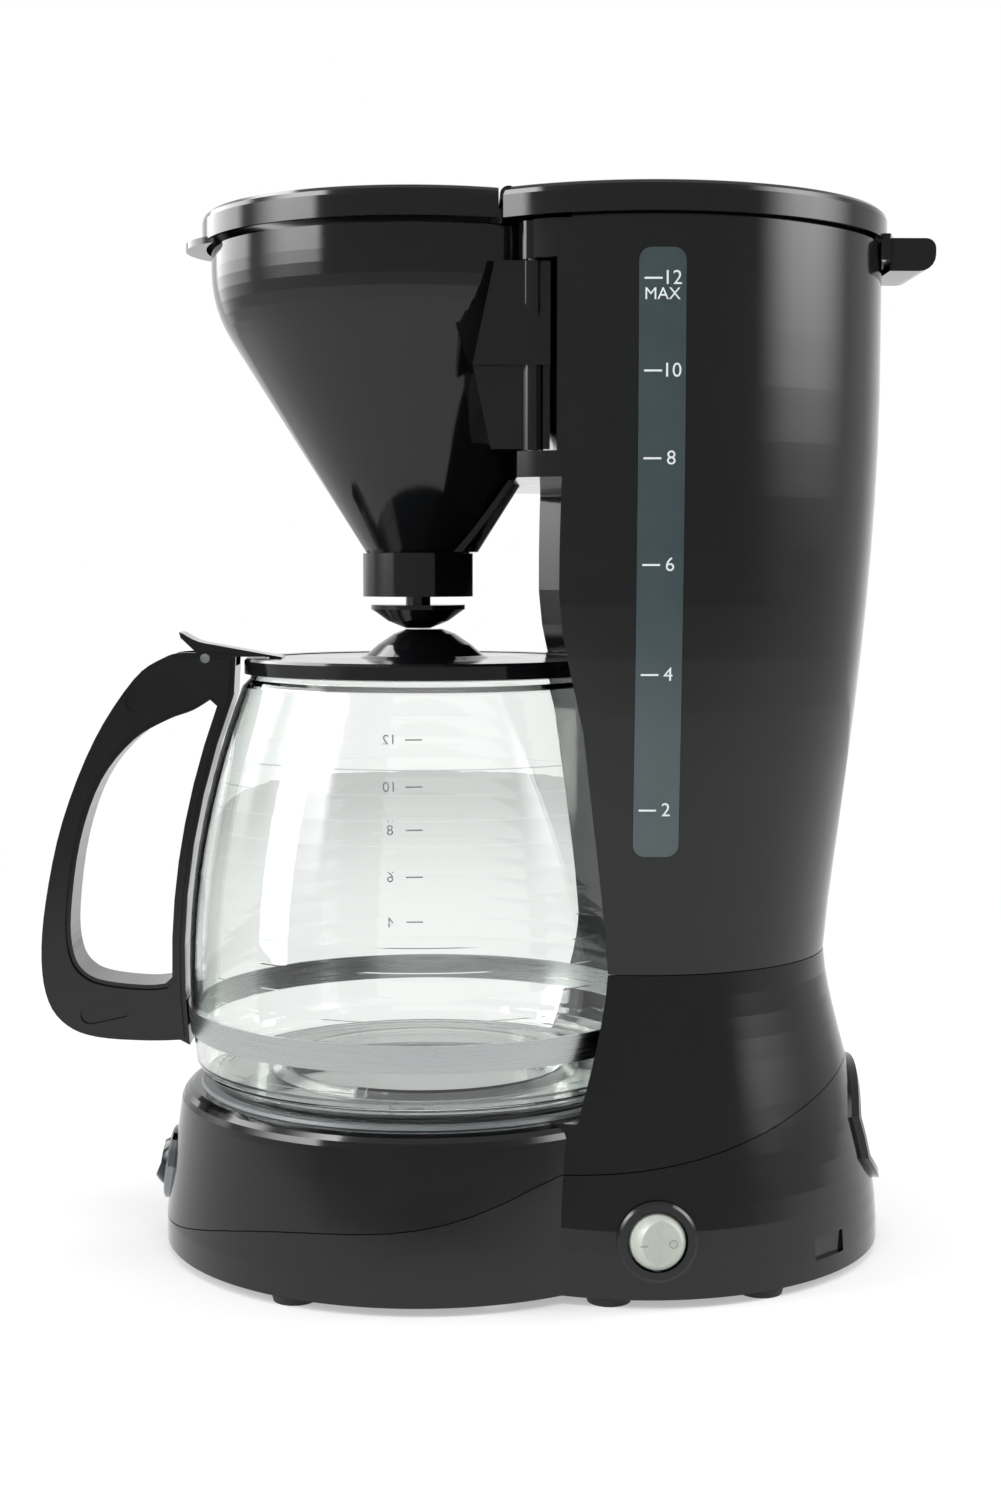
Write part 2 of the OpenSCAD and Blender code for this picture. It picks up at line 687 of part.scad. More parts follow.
module spray_arm() {
  rose_r = 17;
  color("#e9e9e6") difference() {
    union() {
      translate([-arm_w / 2, holder_y, arm_z0]) cube([arm_w, riser_y - holder_y, arm_h]);
      translate([0, riser_y, arm_z0]) cylinder(r = arm_w / 2, h = arm_h, $fn = mid);
      at_holder(arm_z0) cylinder(r = rose_r, h = arm_h, $fn = mid);
    }
    translate([-arm_w / 2 + 1.5, holder_y, arm_z0 + 1]) cube([arm_w - 3, riser_y - holder_y, arm_h - 2]);
    at_holder(arm_z0 + 1) cylinder(r = rose_r - 1.5, h = arm_h - 2, $fn = mid);
    translate([0, riser_y, arm_z0 - cut]) cylinder(r = barb_r - 1, h = cut + 2, $fn = mid);
    for (i = [0:6]) at_holder() rotate([0, 0, i * 60]) translate([i == 6 ? 0 : 11, 0, arm_z0 - cut])
      cylinder(r = 1.2, h = cut + 2, $fn = mid);
  }
}

// The gauge window's outline, cut or kept through the near wall.
module gauge_slot(shrink) {
  r = 3.5;
  w = gauge_w / 2 - shrink;
  z0 = gauge_z0 + shrink;
  z1 = gauge_z1 - shrink;
  translate([40, 0, 0]) rotate([90, 0, 90]) linear_extrude(height = 60) translate([gauge_y, 0]) {
    translate([-w, z0 + r]) square([2 * w, z1 - z0 - 2 * r]);
    translate([-w + r, z0]) square([2 * w - 2 * r, z1 - z0]);
    for (y = [-w + r, w - r], z = [z0 + r, z1 - r]) translate([y, z]) circle(r = r, $fn = mid);
  }
}
module tank_shell() {
  lip_r = 72.6;
  lip_t = 2.2;
  color(plastic_black) difference() {
    union() {
      difference() {
        tower_form(0, tank_z0, tank_top_z);
        bay(0);
        difference() {
          tower_form(tank_wall, tank_z0 + tank_floor_t, tank_top_z + cut);
          bay(tank_wall);
        }
      }
      intersection() {
        at_tower(tank_top_z - 4) difference() {
          cylinder(r = lip_r, h = 9.5, $fn = fine);
          translate([0, 0, -cut]) cylinder(r = lip_r - lip_t, h = 20, $fn = fine);
        }
        keep_behind(tower_y - 25);
      }
    }
    gauge_slot(0);
    translate([valve_x, valve_y, tank_z0 - cut]) cylinder(r = 4, h = 10, $fn = mid);
    translate([0, riser_y, tank_z0 - cut]) cylinder(r = riser_r + 0.2, h = 10, $fn = mid);
  }
}
module gauge_window() {
  color([0.3, 0.38, 0.42, 0.8]) intersection() {
    difference() {
      tower_form(-0.3, tank_z0, tank_top_z);
      tower_form(tank_wall, tank_z0 - cut, tank_top_z + cut);
    }
    gauge_slot(0.1);
  }
}

// The brew head's plan between the tower's wings, behind a front line.
module head_block(y, z0, z1, inset = 0) {
  intersection() {
    at_brew(z0) cylinder(r = bay_top_r - head_fit - inset, h = z1 - z0, $fn = fine);
    tower_form(head_fit + inset, z0 - cut, z1 + cut, 4);
    keep_behind(y + inset);
  }
}
module nest(g) { at_holder() revolve(concat([[0, far]], cone_side(g, far), [[0, throat_z]])); }
module splash_guard() {
  guard_w = 26;
  guard_t = 1.6;
  guard_gap = 0.6;
  intersection() {
    difference() {
      nest(guard_gap + guard_t);
      nest(guard_gap);
    }
    translate([-guard_w / 2, holder_y + 4, throat_z + 0.3]) cube([guard_w, 60, shelf_z0 + 1 - throat_z]);
  }
}
module brew_head() {
  color(plastic_black) difference() {
    union() {
      difference() {
        union() {
          head_block(head_front_y, shelf_z0, head_top_z);
          head_block(shelf_front_y, shelf_z0, shelf_z1);
          head_block(hinge_y, collar_z0, head_top_z);
        }
        nest(nest_gap);
        difference() {
          head_block(head_front_y, shelf_z0 + head_wall, head_top_z - head_wall, head_wall);
          nest(nest_gap + head_wall);
        }
      }
      at_hinge(collar_z0) cylinder(r = knuckle_r, h = head_top_z - collar_z0, $fn = mid);
      at_hinge(shelf_z0) cylinder(r = knuckle_r, h = shelf_z1 - shelf_z0, $fn = mid);
      splash_guard();
    }
    at_hinge(shelf_z0 + 2) cylinder(r = hinge_pin_r + 0.02, h = head_top_z - shelf_z0 - 4, $fn = mid);
    for (p = cover_screw_places) translate([p[0], p[1], head_top_z - 9])
      cylinder(r = 1.25, h = 20, $fn = mid);
  }
}
cover_screw_r = 69.2;
cover_screw_places = [for (a = [58, 122]) [cover_screw_r * cos(a), holder_y + cover_screw_r * sin(a)]];

// A lid's rim, plate and low dome on its own axis.
module lid_cap(r, dome_r, dome_h) {
  edge = 2.6;
  revolve(concat(
    [[0, rim_z0], [r, rim_z0], [r, rim_z1 - edge]],
    [for (a = [30:30:90]) [r - edge + edge * cos(a), rim_z1 - edge + edge * sin(a)]],
    [for (i = [0:6]) let (t = 1 - i / 6) [dome_r * t, rim_z1 + dome_h * (1 - t * t)]]
  ));
}
module lid_hollow(r) {
  translate([0, 0, rim_z0 - cut]) cylinder(r = r - rim_t, h = plate_z0 - rim_z0 + cut, $fn = fine);
}
// The thumb lip along the front of the cover's rim.
module cover_lip() {
  lip_r = 30;
  reach = 5.3;
  lip_z0 = holder_top_z + 0.2;
  difference() {
    translate([0, holder_y - cover_r - reach + lip_r, lip_z0])
      cylinder(r = lip_r, h = rim_z0 + 0.6 - lip_z0, $fn = fine);
    at_holder(lip_z0 - cut) cylinder(r = cover_r - rim_t, h = 20, $fn = fine);
  }
}
module brew_cover() {
  rear_t = 2;
  tongue_r = cover_screw_r + 3;
  tongue_x = 56;
  color(plastic_black) difference() {
    union() {
      difference() {
        at_holder() lid_cap(cover_r, 30, 2.5);
        intersection() {
          at_holder() lid_hollow(cover_r);
          translate([-far / 2, -far, 0]) cube([far, far + cover_end_y - rear_t, far]);
        }
        keep_behind(cover_end_y);
      }
      intersection() {
        at_holder(tongue_z0) cylinder(r = tongue_r, h = tongue_t, $fn = fine);
        translate([-tongue_x, cover_end_y - rear_t, 0]) cube([2 * tongue_x, 100, far]);
      }
      translate([-tongue_x, cover_end_y - 0.2, tongue_z0 + 0.5])
        cube([2 * tongue_x, lid_axis_y - cover_end_y - 0.3, lid_axis_z - barrel_r - 0.4 - tongue_z0 - 0.5]);
      cover_lip();
      for (s = [-1, 1]) translate([s * ear_x - ear_w / 2, lid_axis_y, 0]) {
        translate([0, -2.1, tongue_z0 + 1]) cube([ear_w, 4.2, lid_axis_z - tongue_z0 - 1]);
        translate([0, 0, lid_axis_z]) rotate([0, 90, 0]) cylinder(r = 2.1, h = ear_w, $fn = mid);
      }
    }
    translate([-arm_w / 2 - 0.5, cover_end_y - 10, arm_z0 - 1]) cube([arm_w + 1, 100, arm_h + 1.5]);
    translate([0, lid_axis_y, lid_axis_z]) rotate([0, 90, 0])
      cylinder(r = lid_pin_r + 0.02, h = 2 * ear_x + 20, center = true, $fn = mid);
    for (p = cover_screw_places) translate([p[0], p[1], 0]) cylinder(r = 1.6, h = far, $fn = mid);
  }
}
module cover_screws() {
  color(metal_grey) for (p = cover_screw_places) translate([p[0], p[1], 0]) {
    translate([0, 0, tongue_z0 + tongue_t + 0.05]) cylinder(r = 2.6, h = 1.4, $fn = mid);
    translate([0, 0, head_top_z - 8])
      cylinder(r = 1.2, h = tongue_z0 + tongue_t + 8.5 - head_top_z, $fn = mid);
  }
}
module lid_tab() {
  y0 = tower_y + lid_r - rim_t + 0.3;
  y1 = tower_y + lid_r + tab_reach;
  z1 = rim_z0 + 1.6;
  z0 = z1 - 9.9;
  tab_w = 34;
  root_w = 52;
  side_plate(concat(
    [[y0, z0], [y0, z1]],
    [for (a = [90:-18:0]) [y1 - 3 + 3 * cos(a), z1 - 3 + 3 * sin(a)]],
    [for (a = [0:-18:-90]) [y1 - 5 + 5 * cos(a), z0 + 5 + 5 * sin(a)]]
  ), tab_w);
  intersection() {
    at_tower(z0 + 2) difference() {
      cylinder(r = lid_r + 1.8, h = z1 - z0 - 2, $fn = fine);
      translate([0, 0, -cut]) cylinder(r = lid_r - 0.8, h = 20, $fn = fine);
    }
    translate([-root_w / 2, tower_y, 0]) cube([root_w, 200, far]);
  }
}
module tank_lid() {
  color(plastic_black) difference() {
    union() {
      difference() {
        at_tower() lid_cap(lid_r, 42, 3);
        at_tower() lid_hollow(lid_r);
        translate([-far / 2, -far, 0]) cube([far, far + lid_axis_y - barrel_r + 0.3, far]);
        translate([-lid_axis_span, -far, 0]) cube([2 * lid_axis_span, far + lid_axis_y, far]);
      }
      translate([0, lid_axis_y, lid_axis_z]) rotate([0, 90, 0])
        cylinder(r = barrel_r, h = 2 * lid_axis_span, center = true, $fn = mid);
      lid_tab();
    }
    for (s = [-1, 1]) translate([s * ear_x - ear_w / 2 - ear_gap, lid_axis_y - 4, rim_z0])
      cube([ear_w + 2 * ear_gap, 7.4, far]);
    for (s = [-1, 1]) translate([s * ear_x, lid_axis_y, lid_axis_z]) rotate([0, 90, 0])
      cylinder(r = lid_pin_r + pin_fit, h = lid_pin_l + 1, center = true, $fn = mid);
  }
}
module tank_lid_pins() {
  color(metal_grey) for (s = [-1, 1]) translate([s * ear_x, lid_axis_y, lid_axis_z]) rotate([0, 90, 0])
    cylinder(r = lid_pin_r, h = lid_pin_l, center = true, $fn = mid);
}

// The hinge block: a flat sided arm whose face the knuckle bulges out of and tapers into.
arm_face_x = hinge_x + 3.3;
arm_z_low = 269.7;
module holder_arm(face_x) {
  side_plate([
    [hinge_y - 10.9, knuckle_z1], [hinge_y + 4.9, knuckle_z1], [hinge_y + 4.9, arm_z_low],
    [hinge_y - 17.2, arm_z_low]
  ], 20, face_x - 10);
}
module holder_knuckle() {
  low_r = 3.1;
  taper_z1 = knuckle_z1 - 12;
  taper_z0 = taper_z1 - 13;
  at_hinge() {
    translate([0, 0, knuckle_z0]) cylinder(r = low_r, h = taper_z0 - knuckle_z0, $fn = mid);
    translate([0, 0, taper_z0]) cylinder(r1 = low_r, r2 = knuckle_r, h = taper_z1 - taper_z0, $fn = mid);
    translate([0, 0, taper_z1]) cylinder(r = knuckle_r, h = knuckle_z1 - taper_z1, $fn = mid);
  }
}
module holder_gusset() {
  web_t = 4;
  at_holder() rotate([90, 0, hinge_angle]) translate([0, 0, -web_t / 2]) linear_extrude(height = web_t)
    polygon([
      [cone_r(knuckle_z0 + 4) - 1, knuckle_z0 + 4], [hinge_r, knuckle_z0 + 0.7], [hinge_r, arm_z_low + 1],
      [cone_r(arm_z_low) - 1, arm_z_low + 1]
    ]);
}
// The side wall below the block that shields the pin.
module holder_web() {
  side_plate([
    [hinge_y - 17.2, arm_z_low + 1], [hinge_y + 4.9, arm_z_low + 1], [hinge_y + 4.9, knuckle_z0 + 0.4],
    [hinge_y - 12, knuckle_z0 + 0.4]
  ], 3, hinge_x - 0.5);
}
module filter_holder() {
  color(plastic_black) difference() {
    union() {
      difference() {
        union() {
          at_holder() revolve(concat([[0, holder_top_z]], cone_side(0, holder_top_z), [[0, throat_z]]));
          holder_arm(arm_face_x);
          mirror([1, 0, 0]) holder_arm(arm_face_x - 1);
          holder_gusset();
          holder_web();
        }
        at_holder() intersection() {
          revolve(concat([[0, far]], cone_side(-holder_wall, far), [[0, throat_z]]));
          slab(throat_z + holder_floor_t, far);
        }
      }
      holder_knuckle();
      at_holder(throat_z - spigot_h) cylinder(r = spigot_r, h = spigot_h + cut, $fn = mid);
      intersection() {
        at_holder() for (i = [0:7]) rotate([0, 0, i * 45 + 22.5]) translate([9, -0.8, throat_z + 1])
          cube([60, 1.6, 66]);
        difference() {
          at_holder() revolve(concat([[0, far]], cone_side(-holder_wall / 2, far), [[0, throat_z]]));
          at_holder() revolve(concat([[0, far]], cone_side(-holder_wall - 2.4, far), [[0, throat_z]]));
        }
        slab(throat_z + 1, shoulder_z);
      }
    }
    at_hinge() cylinder(r = hinge_pin_r + pin_fit, h = far, $fn = mid);
    at_holder(throat_z - spigot_h - cut) cylinder(r = spigot_bore, h = spigot_h + cut, $fn = mid);
    at_holder() cylinder(r = guide_r + 0.25, h = far, $fn = mid);
    for (i = [0:5]) at_holder() rotate([0, 0, i * 60]) translate([8.2, 0, 0])
      cylinder(r = 2.6, h = far, $fn = mid);
  }
}
module holder_hinge_pin() {
  color(metal_grey) at_hinge(shelf_z0 + 2.1)
    cylinder(r = hinge_pin_r, h = head_top_z - shelf_z0 - 4.2, $fn = mid);
}
module drip_stop_housing() {
  color(plastic_black) at_holder() difference() {
    translate([0, 0, stop_z0]) cylinder(r = neck_r, h = neck_h - 0.05, $fn = fine);
    translate([0, 0, throat_z - spigot_h]) cylinder(r = spigot_r + 0.05, h = spigot_h + cut, $fn = mid);
    translate([0, 0, stop_floor_z]) cylinder(r = spigot_bore, h = neck_h, $fn = mid);
    translate([0, 0, stop_z0 - cut]) cylinder(r = stem_r + 0.3, h = 10, $fn = mid);
    for (i = [0:5]) rotate([0, 0, i * 60]) translate([6.4, 0, stop_z0 - cut])
      cylinder(r = 1.1, h = 10, $fn = mid);
  }
}
module drip_stop_plunger() {
  disc_z1 = disc_top_z;
  disc_z0 = disc_top_z - disc_edge_t;
  low_r = 4;
  color(plastic_black) at_holder() {
    revolve([
      [0, disc_low_z], [low_r, disc_low_z], [9.5, disc_low_z + 2.2], [13, disc_z0 - 1.2], [disc_r, disc_z0],
      [disc_r, disc_z1], [stem_r, disc_z1], [stem_r, flange_z0], [flange_r, flange_z0],
      [flange_r, flange_z0 + flange_t], [guide_r, flange_z0 + flange_t], [guide_r, throat_z + holder_floor_t + 5],
      [0, throat_z + holder_floor_t + 5]
    ]);
  }
}
module drip_stop_seal() {
  color(silicone) at_holder(seal_z0) difference() {
    cylinder(r = flange_r, h = seal_t - 0.02, $fn = mid);
    translate([0, 0, -cut]) cylinder(r = stem_r + 0.05, h = 5, $fn = mid);
  }
}
// A wire swept round a helix with flat ends.
module drip_stop_spring() {
  ring_n = 8;
  steps = 50;
  wire = [for (i = [0:steps]) let (t = i / steps, a = 360 * spring_turns * t,
      z = spring_z0 + spring_wire_r + 0.02 + (spring_z1 - spring_z0 - 2 * spring_wire_r - 0.02) * ease(t))
    for (j = [0:ring_n - 1]) let (b = 360 * j / ring_n, r = spring_coil_r + spring_wire_r * cos(b))
      [r * cos(a), r * sin(a), z + spring_wire_r * sin(b)]];
  sides = [for (i = [0:steps - 1], j = [0:ring_n - 1]) let (k = (j + 1) % ring_n)
    [i * ring_n + j, i * ring_n + k, (i + 1) * ring_n + k, (i + 1) * ring_n + j]];
  ends = [[for (j = [ring_n - 1:-1:0]) j], [for (j = [0:ring_n - 1]) steps * ring_n + j]];
  color(metal_grey) at_holder() polyhedron(points = wire, faces = concat(sides, ends));
}

module power_switch_case() { color(plastic_black) at_power_switch() switch_case(); }
module power_rocker() { color("#e7ebe6") at_power_switch() rocker(); }
module warm_switch_case() { color("#9da1a4") at_warm_switch() switch_case(); }
module warm_rocker() { color(plastic_black) at_warm_switch() rocker(); }

module carafe_glass() {
  corner = 9;
  foot_r = glass_r(glass_z0 + corner) - corner;
  top_z = collar_z0_c - 3.4;
  punt = 2.2;
  n = 16;
  outer = concat(
    [[0, glass_z0 + punt], [foot_r - 20, glass_z0 + punt], [foot_r - 16, glass_z0]],
    [for (a = [-90:18:0]) [foot_r + corner * cos(a), glass_z0 + corner + corner * sin(a)]],
    [for (i = [1:n]) let (z = glass_z0 + corner + (top_z - glass_z0 - corner) * i / n) [glass_r(z), z]],
    [[neck_glass_r + 0.7, collar_z0_c - 1], [neck_glass_r, collar_z0_c + 0.4], [neck_glass_r, collar_z0_c + 2.4]]
  );
  inner = concat(
    [[neck_glass_r - glass_t, collar_z0_c + 2.4], [neck_glass_r - glass_t, collar_z0_c],
      [neck_glass_r - glass_t + 0.8, collar_z0_c - 2]],
    [for (i = [n:-1:0]) let (z = glass_z0 + corner + (top_z - glass_z0 - corner) * i / n) [glass_r(z) - glass_t, z]],
    [for (a = [-18:-18:-90]) [foot_r + (corner - glass_t) * cos(a), glass_z0 + corner + (corner - glass_t) * sin(a)]],
    [[foot_r - 15, glass_z0 + glass_t], [foot_r - 19, glass_z0 + punt + glass_t], [0, glass_z0 + punt + glass_t]]
  );
  color([0.86, 0.93, 0.9, 0.35]) at_brew() revolve(concat(outer, inner));
}
module carafe_band() {
  n = 4;
  side = [for (i = [0:n]) let (z = band_z0 + band_h * i / n) [glass_r(z) + 0.12, z]];
  out = [for (i = [n:-1:0]) let (z = band_z0 + band_h * i / n) [glass_r(z) + 0.12 + band_t, z]];
  color(metal_grey) at_brew() revolve(concat(side, out));
}
// A smooth closed or open curve through a few points.
function blend(a, b, c, d, t) = 0.5 * (2 * b + (c - a) * t + (2 * a - 5 * b + 4 * c - d) * t * t
  + (3 * b - a - 3 * c + d) * t * t * t);
function smooth(p, n = 4) = [for (i = [0:len(p) - 2], k = [0:n - 1])
  blend(p[max(i - 1, 0)], p[i], p[i + 1], p[min(i + 2, len(p) - 1)], k / n)];
// Handle points are shares of its reach and its height, from its lower end at the glass.
handle_z0 = glass_z0 + handle_low;
handle_h = collar_top_z + 2.1 - handle_z0;
function on_handle(p) = [for (q = p) [brew_y - belly_r - handle_reach * q[0], handle_z0 + handle_h * q[1]]];
strap_gap = 0.12 + band_t + 0.25;
strap_depth = 4;
handle_back = [for (i = [0:7]) let (z = band_z0 - 5.6 + (collar_z0_c - 6 - band_z0 + 5.6) * i / 7)
  [brew_y - glass_r(z) - strap_gap, z]];
handle_outer = smooth(on_handle([
  [-0.347, 0.99], [-0.008, 0.997], [0.15, 0.982], [0.345, 0.929], [0.617, 0.775], [0.841, 0.568],
  [0.964, 0.362], [1, 0.209], [0.956, 0.102], [0.831, 0.04], [0.63, 0.01], [0.288, 0],
  [0.013, 0.002]
]));
handle_window = smooth(on_handle([
  [-0.169, 0.877], [-0.051, 0.85], [0.121, 0.826], [0.351, 0.775], [0.575, 0.671], [0.723, 0.516],
  [0.793, 0.33], [0.778, 0.229], [0.7, 0.179], [0.556, 0.156], [0.285, 0.145], [0.131, 0.15]
]));
module handle_outline(shrink) {
  offset(delta = -shrink) difference() {
    polygon(concat(handle_outer, handle_back));
    polygon(concat(handle_window, [for (i = [0:7]) let (z = handle_z0 + handle_h * (0.165 + 0.696 * i / 7))
      [brew_y - glass_r(z) - strap_gap - strap_depth, z]]));
  }
}
module carafe_handle() {
  edge = 1.5;
  color(plastic_black) difference() {
    intersection() {
      union() {
        translate([-grip_w / 2, 0, 0]) rotate([90, 0, 90]) linear_extrude(height = grip_w) handle_outline(edge);
        translate([-grip_w / 2 + edge, 0, 0]) rotate([90, 0, 90]) linear_extrude(height = grip_w - 2 * edge)
          handle_outline(0);
      }
      translate([-far / 2, -far, 0]) cube([far, far + collar_stop_y, far]);
    }
    lever_room();
    handle_bolt_cut();
    for (d = [[0.236, 0.893, 31], [0.56, 0.08, 12]]) let (p = on_handle([[d[0], d[1]]])[0])
      mirrored_x() translate([grip_w / 2 - 1, p[0], p[1]]) rotate([d[2], 0, 0]) grip_dimple();
  }
}
module grip_dimple() {
  for (y = [-5, 5]) translate([0, y, 0]) rotate([0, 90, 0]) cylinder(r = 3.2, h = 5, $fn = mid);
  translate([0, -5, -3.2]) cube([5, 10, 6.4]);
}
collar_stop_y = brew_y - collar_r - 0.2;
module lever_room() {
  translate([-7.2, -far, lid_pin_z - 2.4]) cube([14.4, far + 60, 30]);
  translate([0, lid_pin_y, lid_pin_z]) rotate([0, 90, 0]) cylinder(r = 1.52, h = 40, center = true, $fn = mid);
}
module handle_bolt_cut() {
  translate([0, -far + brew_y - belly_r, band_z0 + band_h / 2 - 3.4]) rotate([-90, 0, 0])
    cylinder(r = 1.6, h = far, $fn = mid);
}
module handle_screw() {
  color(metal_grey) translate([0, brew_y - belly_r - 1.4, band_z0 + band_h / 2 - 3.4]) rotate([90, 0, 0]) {
    cylinder(r = 1.5, h = 22, $fn = mid);
  }
}
module carafe_collar() {
  bore = neck_glass_r - glass_t - 2.2;
  color(plastic_black) at_brew() difference() {
    union() {
      revolve([
        [neck_glass_r + 0.1, collar_z0_c + 0.2], [collar_r, collar_z0_c + 0.6], [collar_r, collar_top_z - 0.8],
        [collar_r - 0.8, collar_top_z], [bore, collar_top_z], [bore, collar_z0_c + 2.6],
        [neck_glass_r + 0.1, collar_z0_c + 2.6]
      ]);
      intersection() {
        translate([0, collar_r - 3, collar_top_z - 3]) cylinder(r1 = 4, r2 = 8, h = 3, $fn = mid);
        translate([-20, neck_glass_r + 1, 0]) cube([40, 20, far]);
      }
    }
    translate([0, collar_r - 3, collar_top_z - 1.4]) cylinder(r1 = 3.5, r2 = 6, h = 1.5, $fn = mid);
  }
}
module carafe_lid() {
  plug_t = 2.8;
  color(plastic_black) difference() {
    union() {
      at_brew() revolve([
        [0, collar_top_z - plug_t], [lid_plug_r, collar_top_z - plug_t], [lid_plug_r, collar_top_z - 0.2],
        [dome_r0 + 2, collar_top_z - 0.2], [dome_r0, collar_top_z + 0.6], [14.6, collar_top_z + 4],
        [9.5, dome_top_z - 1.4], [dome_r1, dome_top_z], [0, dome_top_z]
      ]);
      side_plate(lever_outline, 13.6);
    }
    at_brew() revolve([
      [0, collar_top_z - plug_t - cut], [16, collar_top_z - plug_t - cut], [15, collar_top_z], [12.6, collar_top_z + 3],
      [7.8, dome_top_z - 3.4], [4, dome_top_z - 2], [0, dome_top_z - 2]
    ]);
    at_brew() cylinder(r = 2.2, h = far, $fn = mid);
    translate([0, lid_pin_y, lid_pin_z]) rotate([0, 90, 0]) cylinder(r = 1.56, h = 40, center = true, $fn = mid);
  }
}
lever_back_y = brew_y - lid_plug_r + 5.5;
lever_tip_y = lid_pin_y - 8.3;
lever_outline = concat(
  smooth([[lever_back_y, collar_top_z + 0.2], [lever_back_y - 11, collar_top_z + 2.2],
    [lid_pin_y + 4, collar_top_z + 3.8], [lid_pin_y - 2.7, collar_top_z + 5.2],
    [lever_tip_y + 0.1, dome_top_z - 0.6]]),
  [[lever_tip_y, dome_top_z - 0.8], [lever_tip_y + 0.5, dome_top_z - 2.6], [lid_pin_y - 3, collar_top_z + 1.6],
    [lid_pin_y - 1.9, lid_pin_z - 1.6], [lid_pin_y + 1.9, lid_pin_z - 1.6], [lid_pin_y + 4, collar_top_z + 0.3],
    [lever_back_y - 4, collar_top_z + 0.3], [lever_back_y - 4, collar_top_z - 2], [lever_back_y, collar_top_z - 2]]
);
module carafe_lid_pin() {
  color(metal_grey) translate([0, lid_pin_y, lid_pin_z]) rotate([0, 90, 0])
    cylinder(r = 1.5, h = grip_w - 2, center = true, $fn = mid);
}

base_tray();
feet();
base_screws();
base_skirt();
deck_housing();
cord_well();
terminal_block();
hotplate();
hotplate_seal();
heating_element();
element_bracket();
thermostat();
thermal_fuses();
check_valve();
cold_hose();
hot_hose();
hose_clips();
riser_tube();
spray_arm();
tank_shell();
gauge_window();
brew_head();
brew_cover();
cover_screws();
tank_lid();
tank_lid_pins();
filter_holder();
holder_hinge_pin();
drip_stop_housing();
drip_stop_plunger();
drip_stop_seal();
drip_stop_spring();
power_switch_case();
power_rocker();
warm_switch_case();
warm_rocker();
carafe_glass();
carafe_band();
carafe_handle();
handle_screw();
carafe_collar();
carafe_lid();
carafe_lid_pin();
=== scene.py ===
import math

import bmesh
import bpy
from mathutils import Matrix, Vector
from mathutils.bvhtree import BVHTree


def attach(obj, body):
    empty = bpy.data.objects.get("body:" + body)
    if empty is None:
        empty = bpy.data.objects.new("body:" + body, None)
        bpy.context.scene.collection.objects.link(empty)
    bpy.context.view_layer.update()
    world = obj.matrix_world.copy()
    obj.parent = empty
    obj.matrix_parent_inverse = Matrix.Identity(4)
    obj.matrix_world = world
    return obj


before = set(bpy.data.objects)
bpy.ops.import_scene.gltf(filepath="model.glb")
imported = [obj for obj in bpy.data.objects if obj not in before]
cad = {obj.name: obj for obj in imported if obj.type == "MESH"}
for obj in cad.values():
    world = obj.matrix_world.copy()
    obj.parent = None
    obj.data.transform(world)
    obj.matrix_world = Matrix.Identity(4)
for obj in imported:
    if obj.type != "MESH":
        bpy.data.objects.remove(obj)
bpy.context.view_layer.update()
MM = 0.001

# ---------------------------------------------------------------- finishes


def linear(code):
    """A colour written as an sRGB hex value, as linear red, green, blue and full alpha."""
    parts = [int(code[i : i + 2], 16) / 255 for i in (0, 2, 4)]
    return tuple(c / 12.92 if c <= 0.04045 else ((c + 0.055) / 1.055) ** 2.4 for c in parts) + (1.0,)


def every(size):
    """The scale of a pattern on Object coordinates whose cells are this many millimetres across."""
    return 1.0 / (size * MM)


def add(tree, kind, sockets=None, **settings):
    """Adds a shader node, sets its properties, and gives its sockets a value or what feeds them."""
    made = tree.nodes.new(kind)
    for name, value in settings.items():
        setattr(made, name, value)
    for name, value in (sockets or {}).items():
        if isinstance(value, bpy.types.NodeSocket):
            tree.links.new(value, made.inputs[name])
        else:
            made.inputs[name].default_value = value
    return made


def start_finish(name, **shader):
    """A material, its node tree, its surface shader and the place on the piece, in metres."""
    finish = bpy.data.materials.new(name)
    finish.use_nodes = True
    tree = finish.node_tree
    surface = tree.nodes["Principled BSDF"]
    for socket, value in shader.items():
        surface.inputs[socket.replace("_", " ")].default_value = value
    place = add(tree, "ShaderNodeTexCoord").outputs["Object"]
    return finish, tree, surface, place


# Flow clouds and sink marks of a big moulding are centimetres wide. Orange peel is about a millimetre.
FLOW_CLOUD = 22.2
SINK_MARK = 33.3
ORANGE_PEEL = 1.11


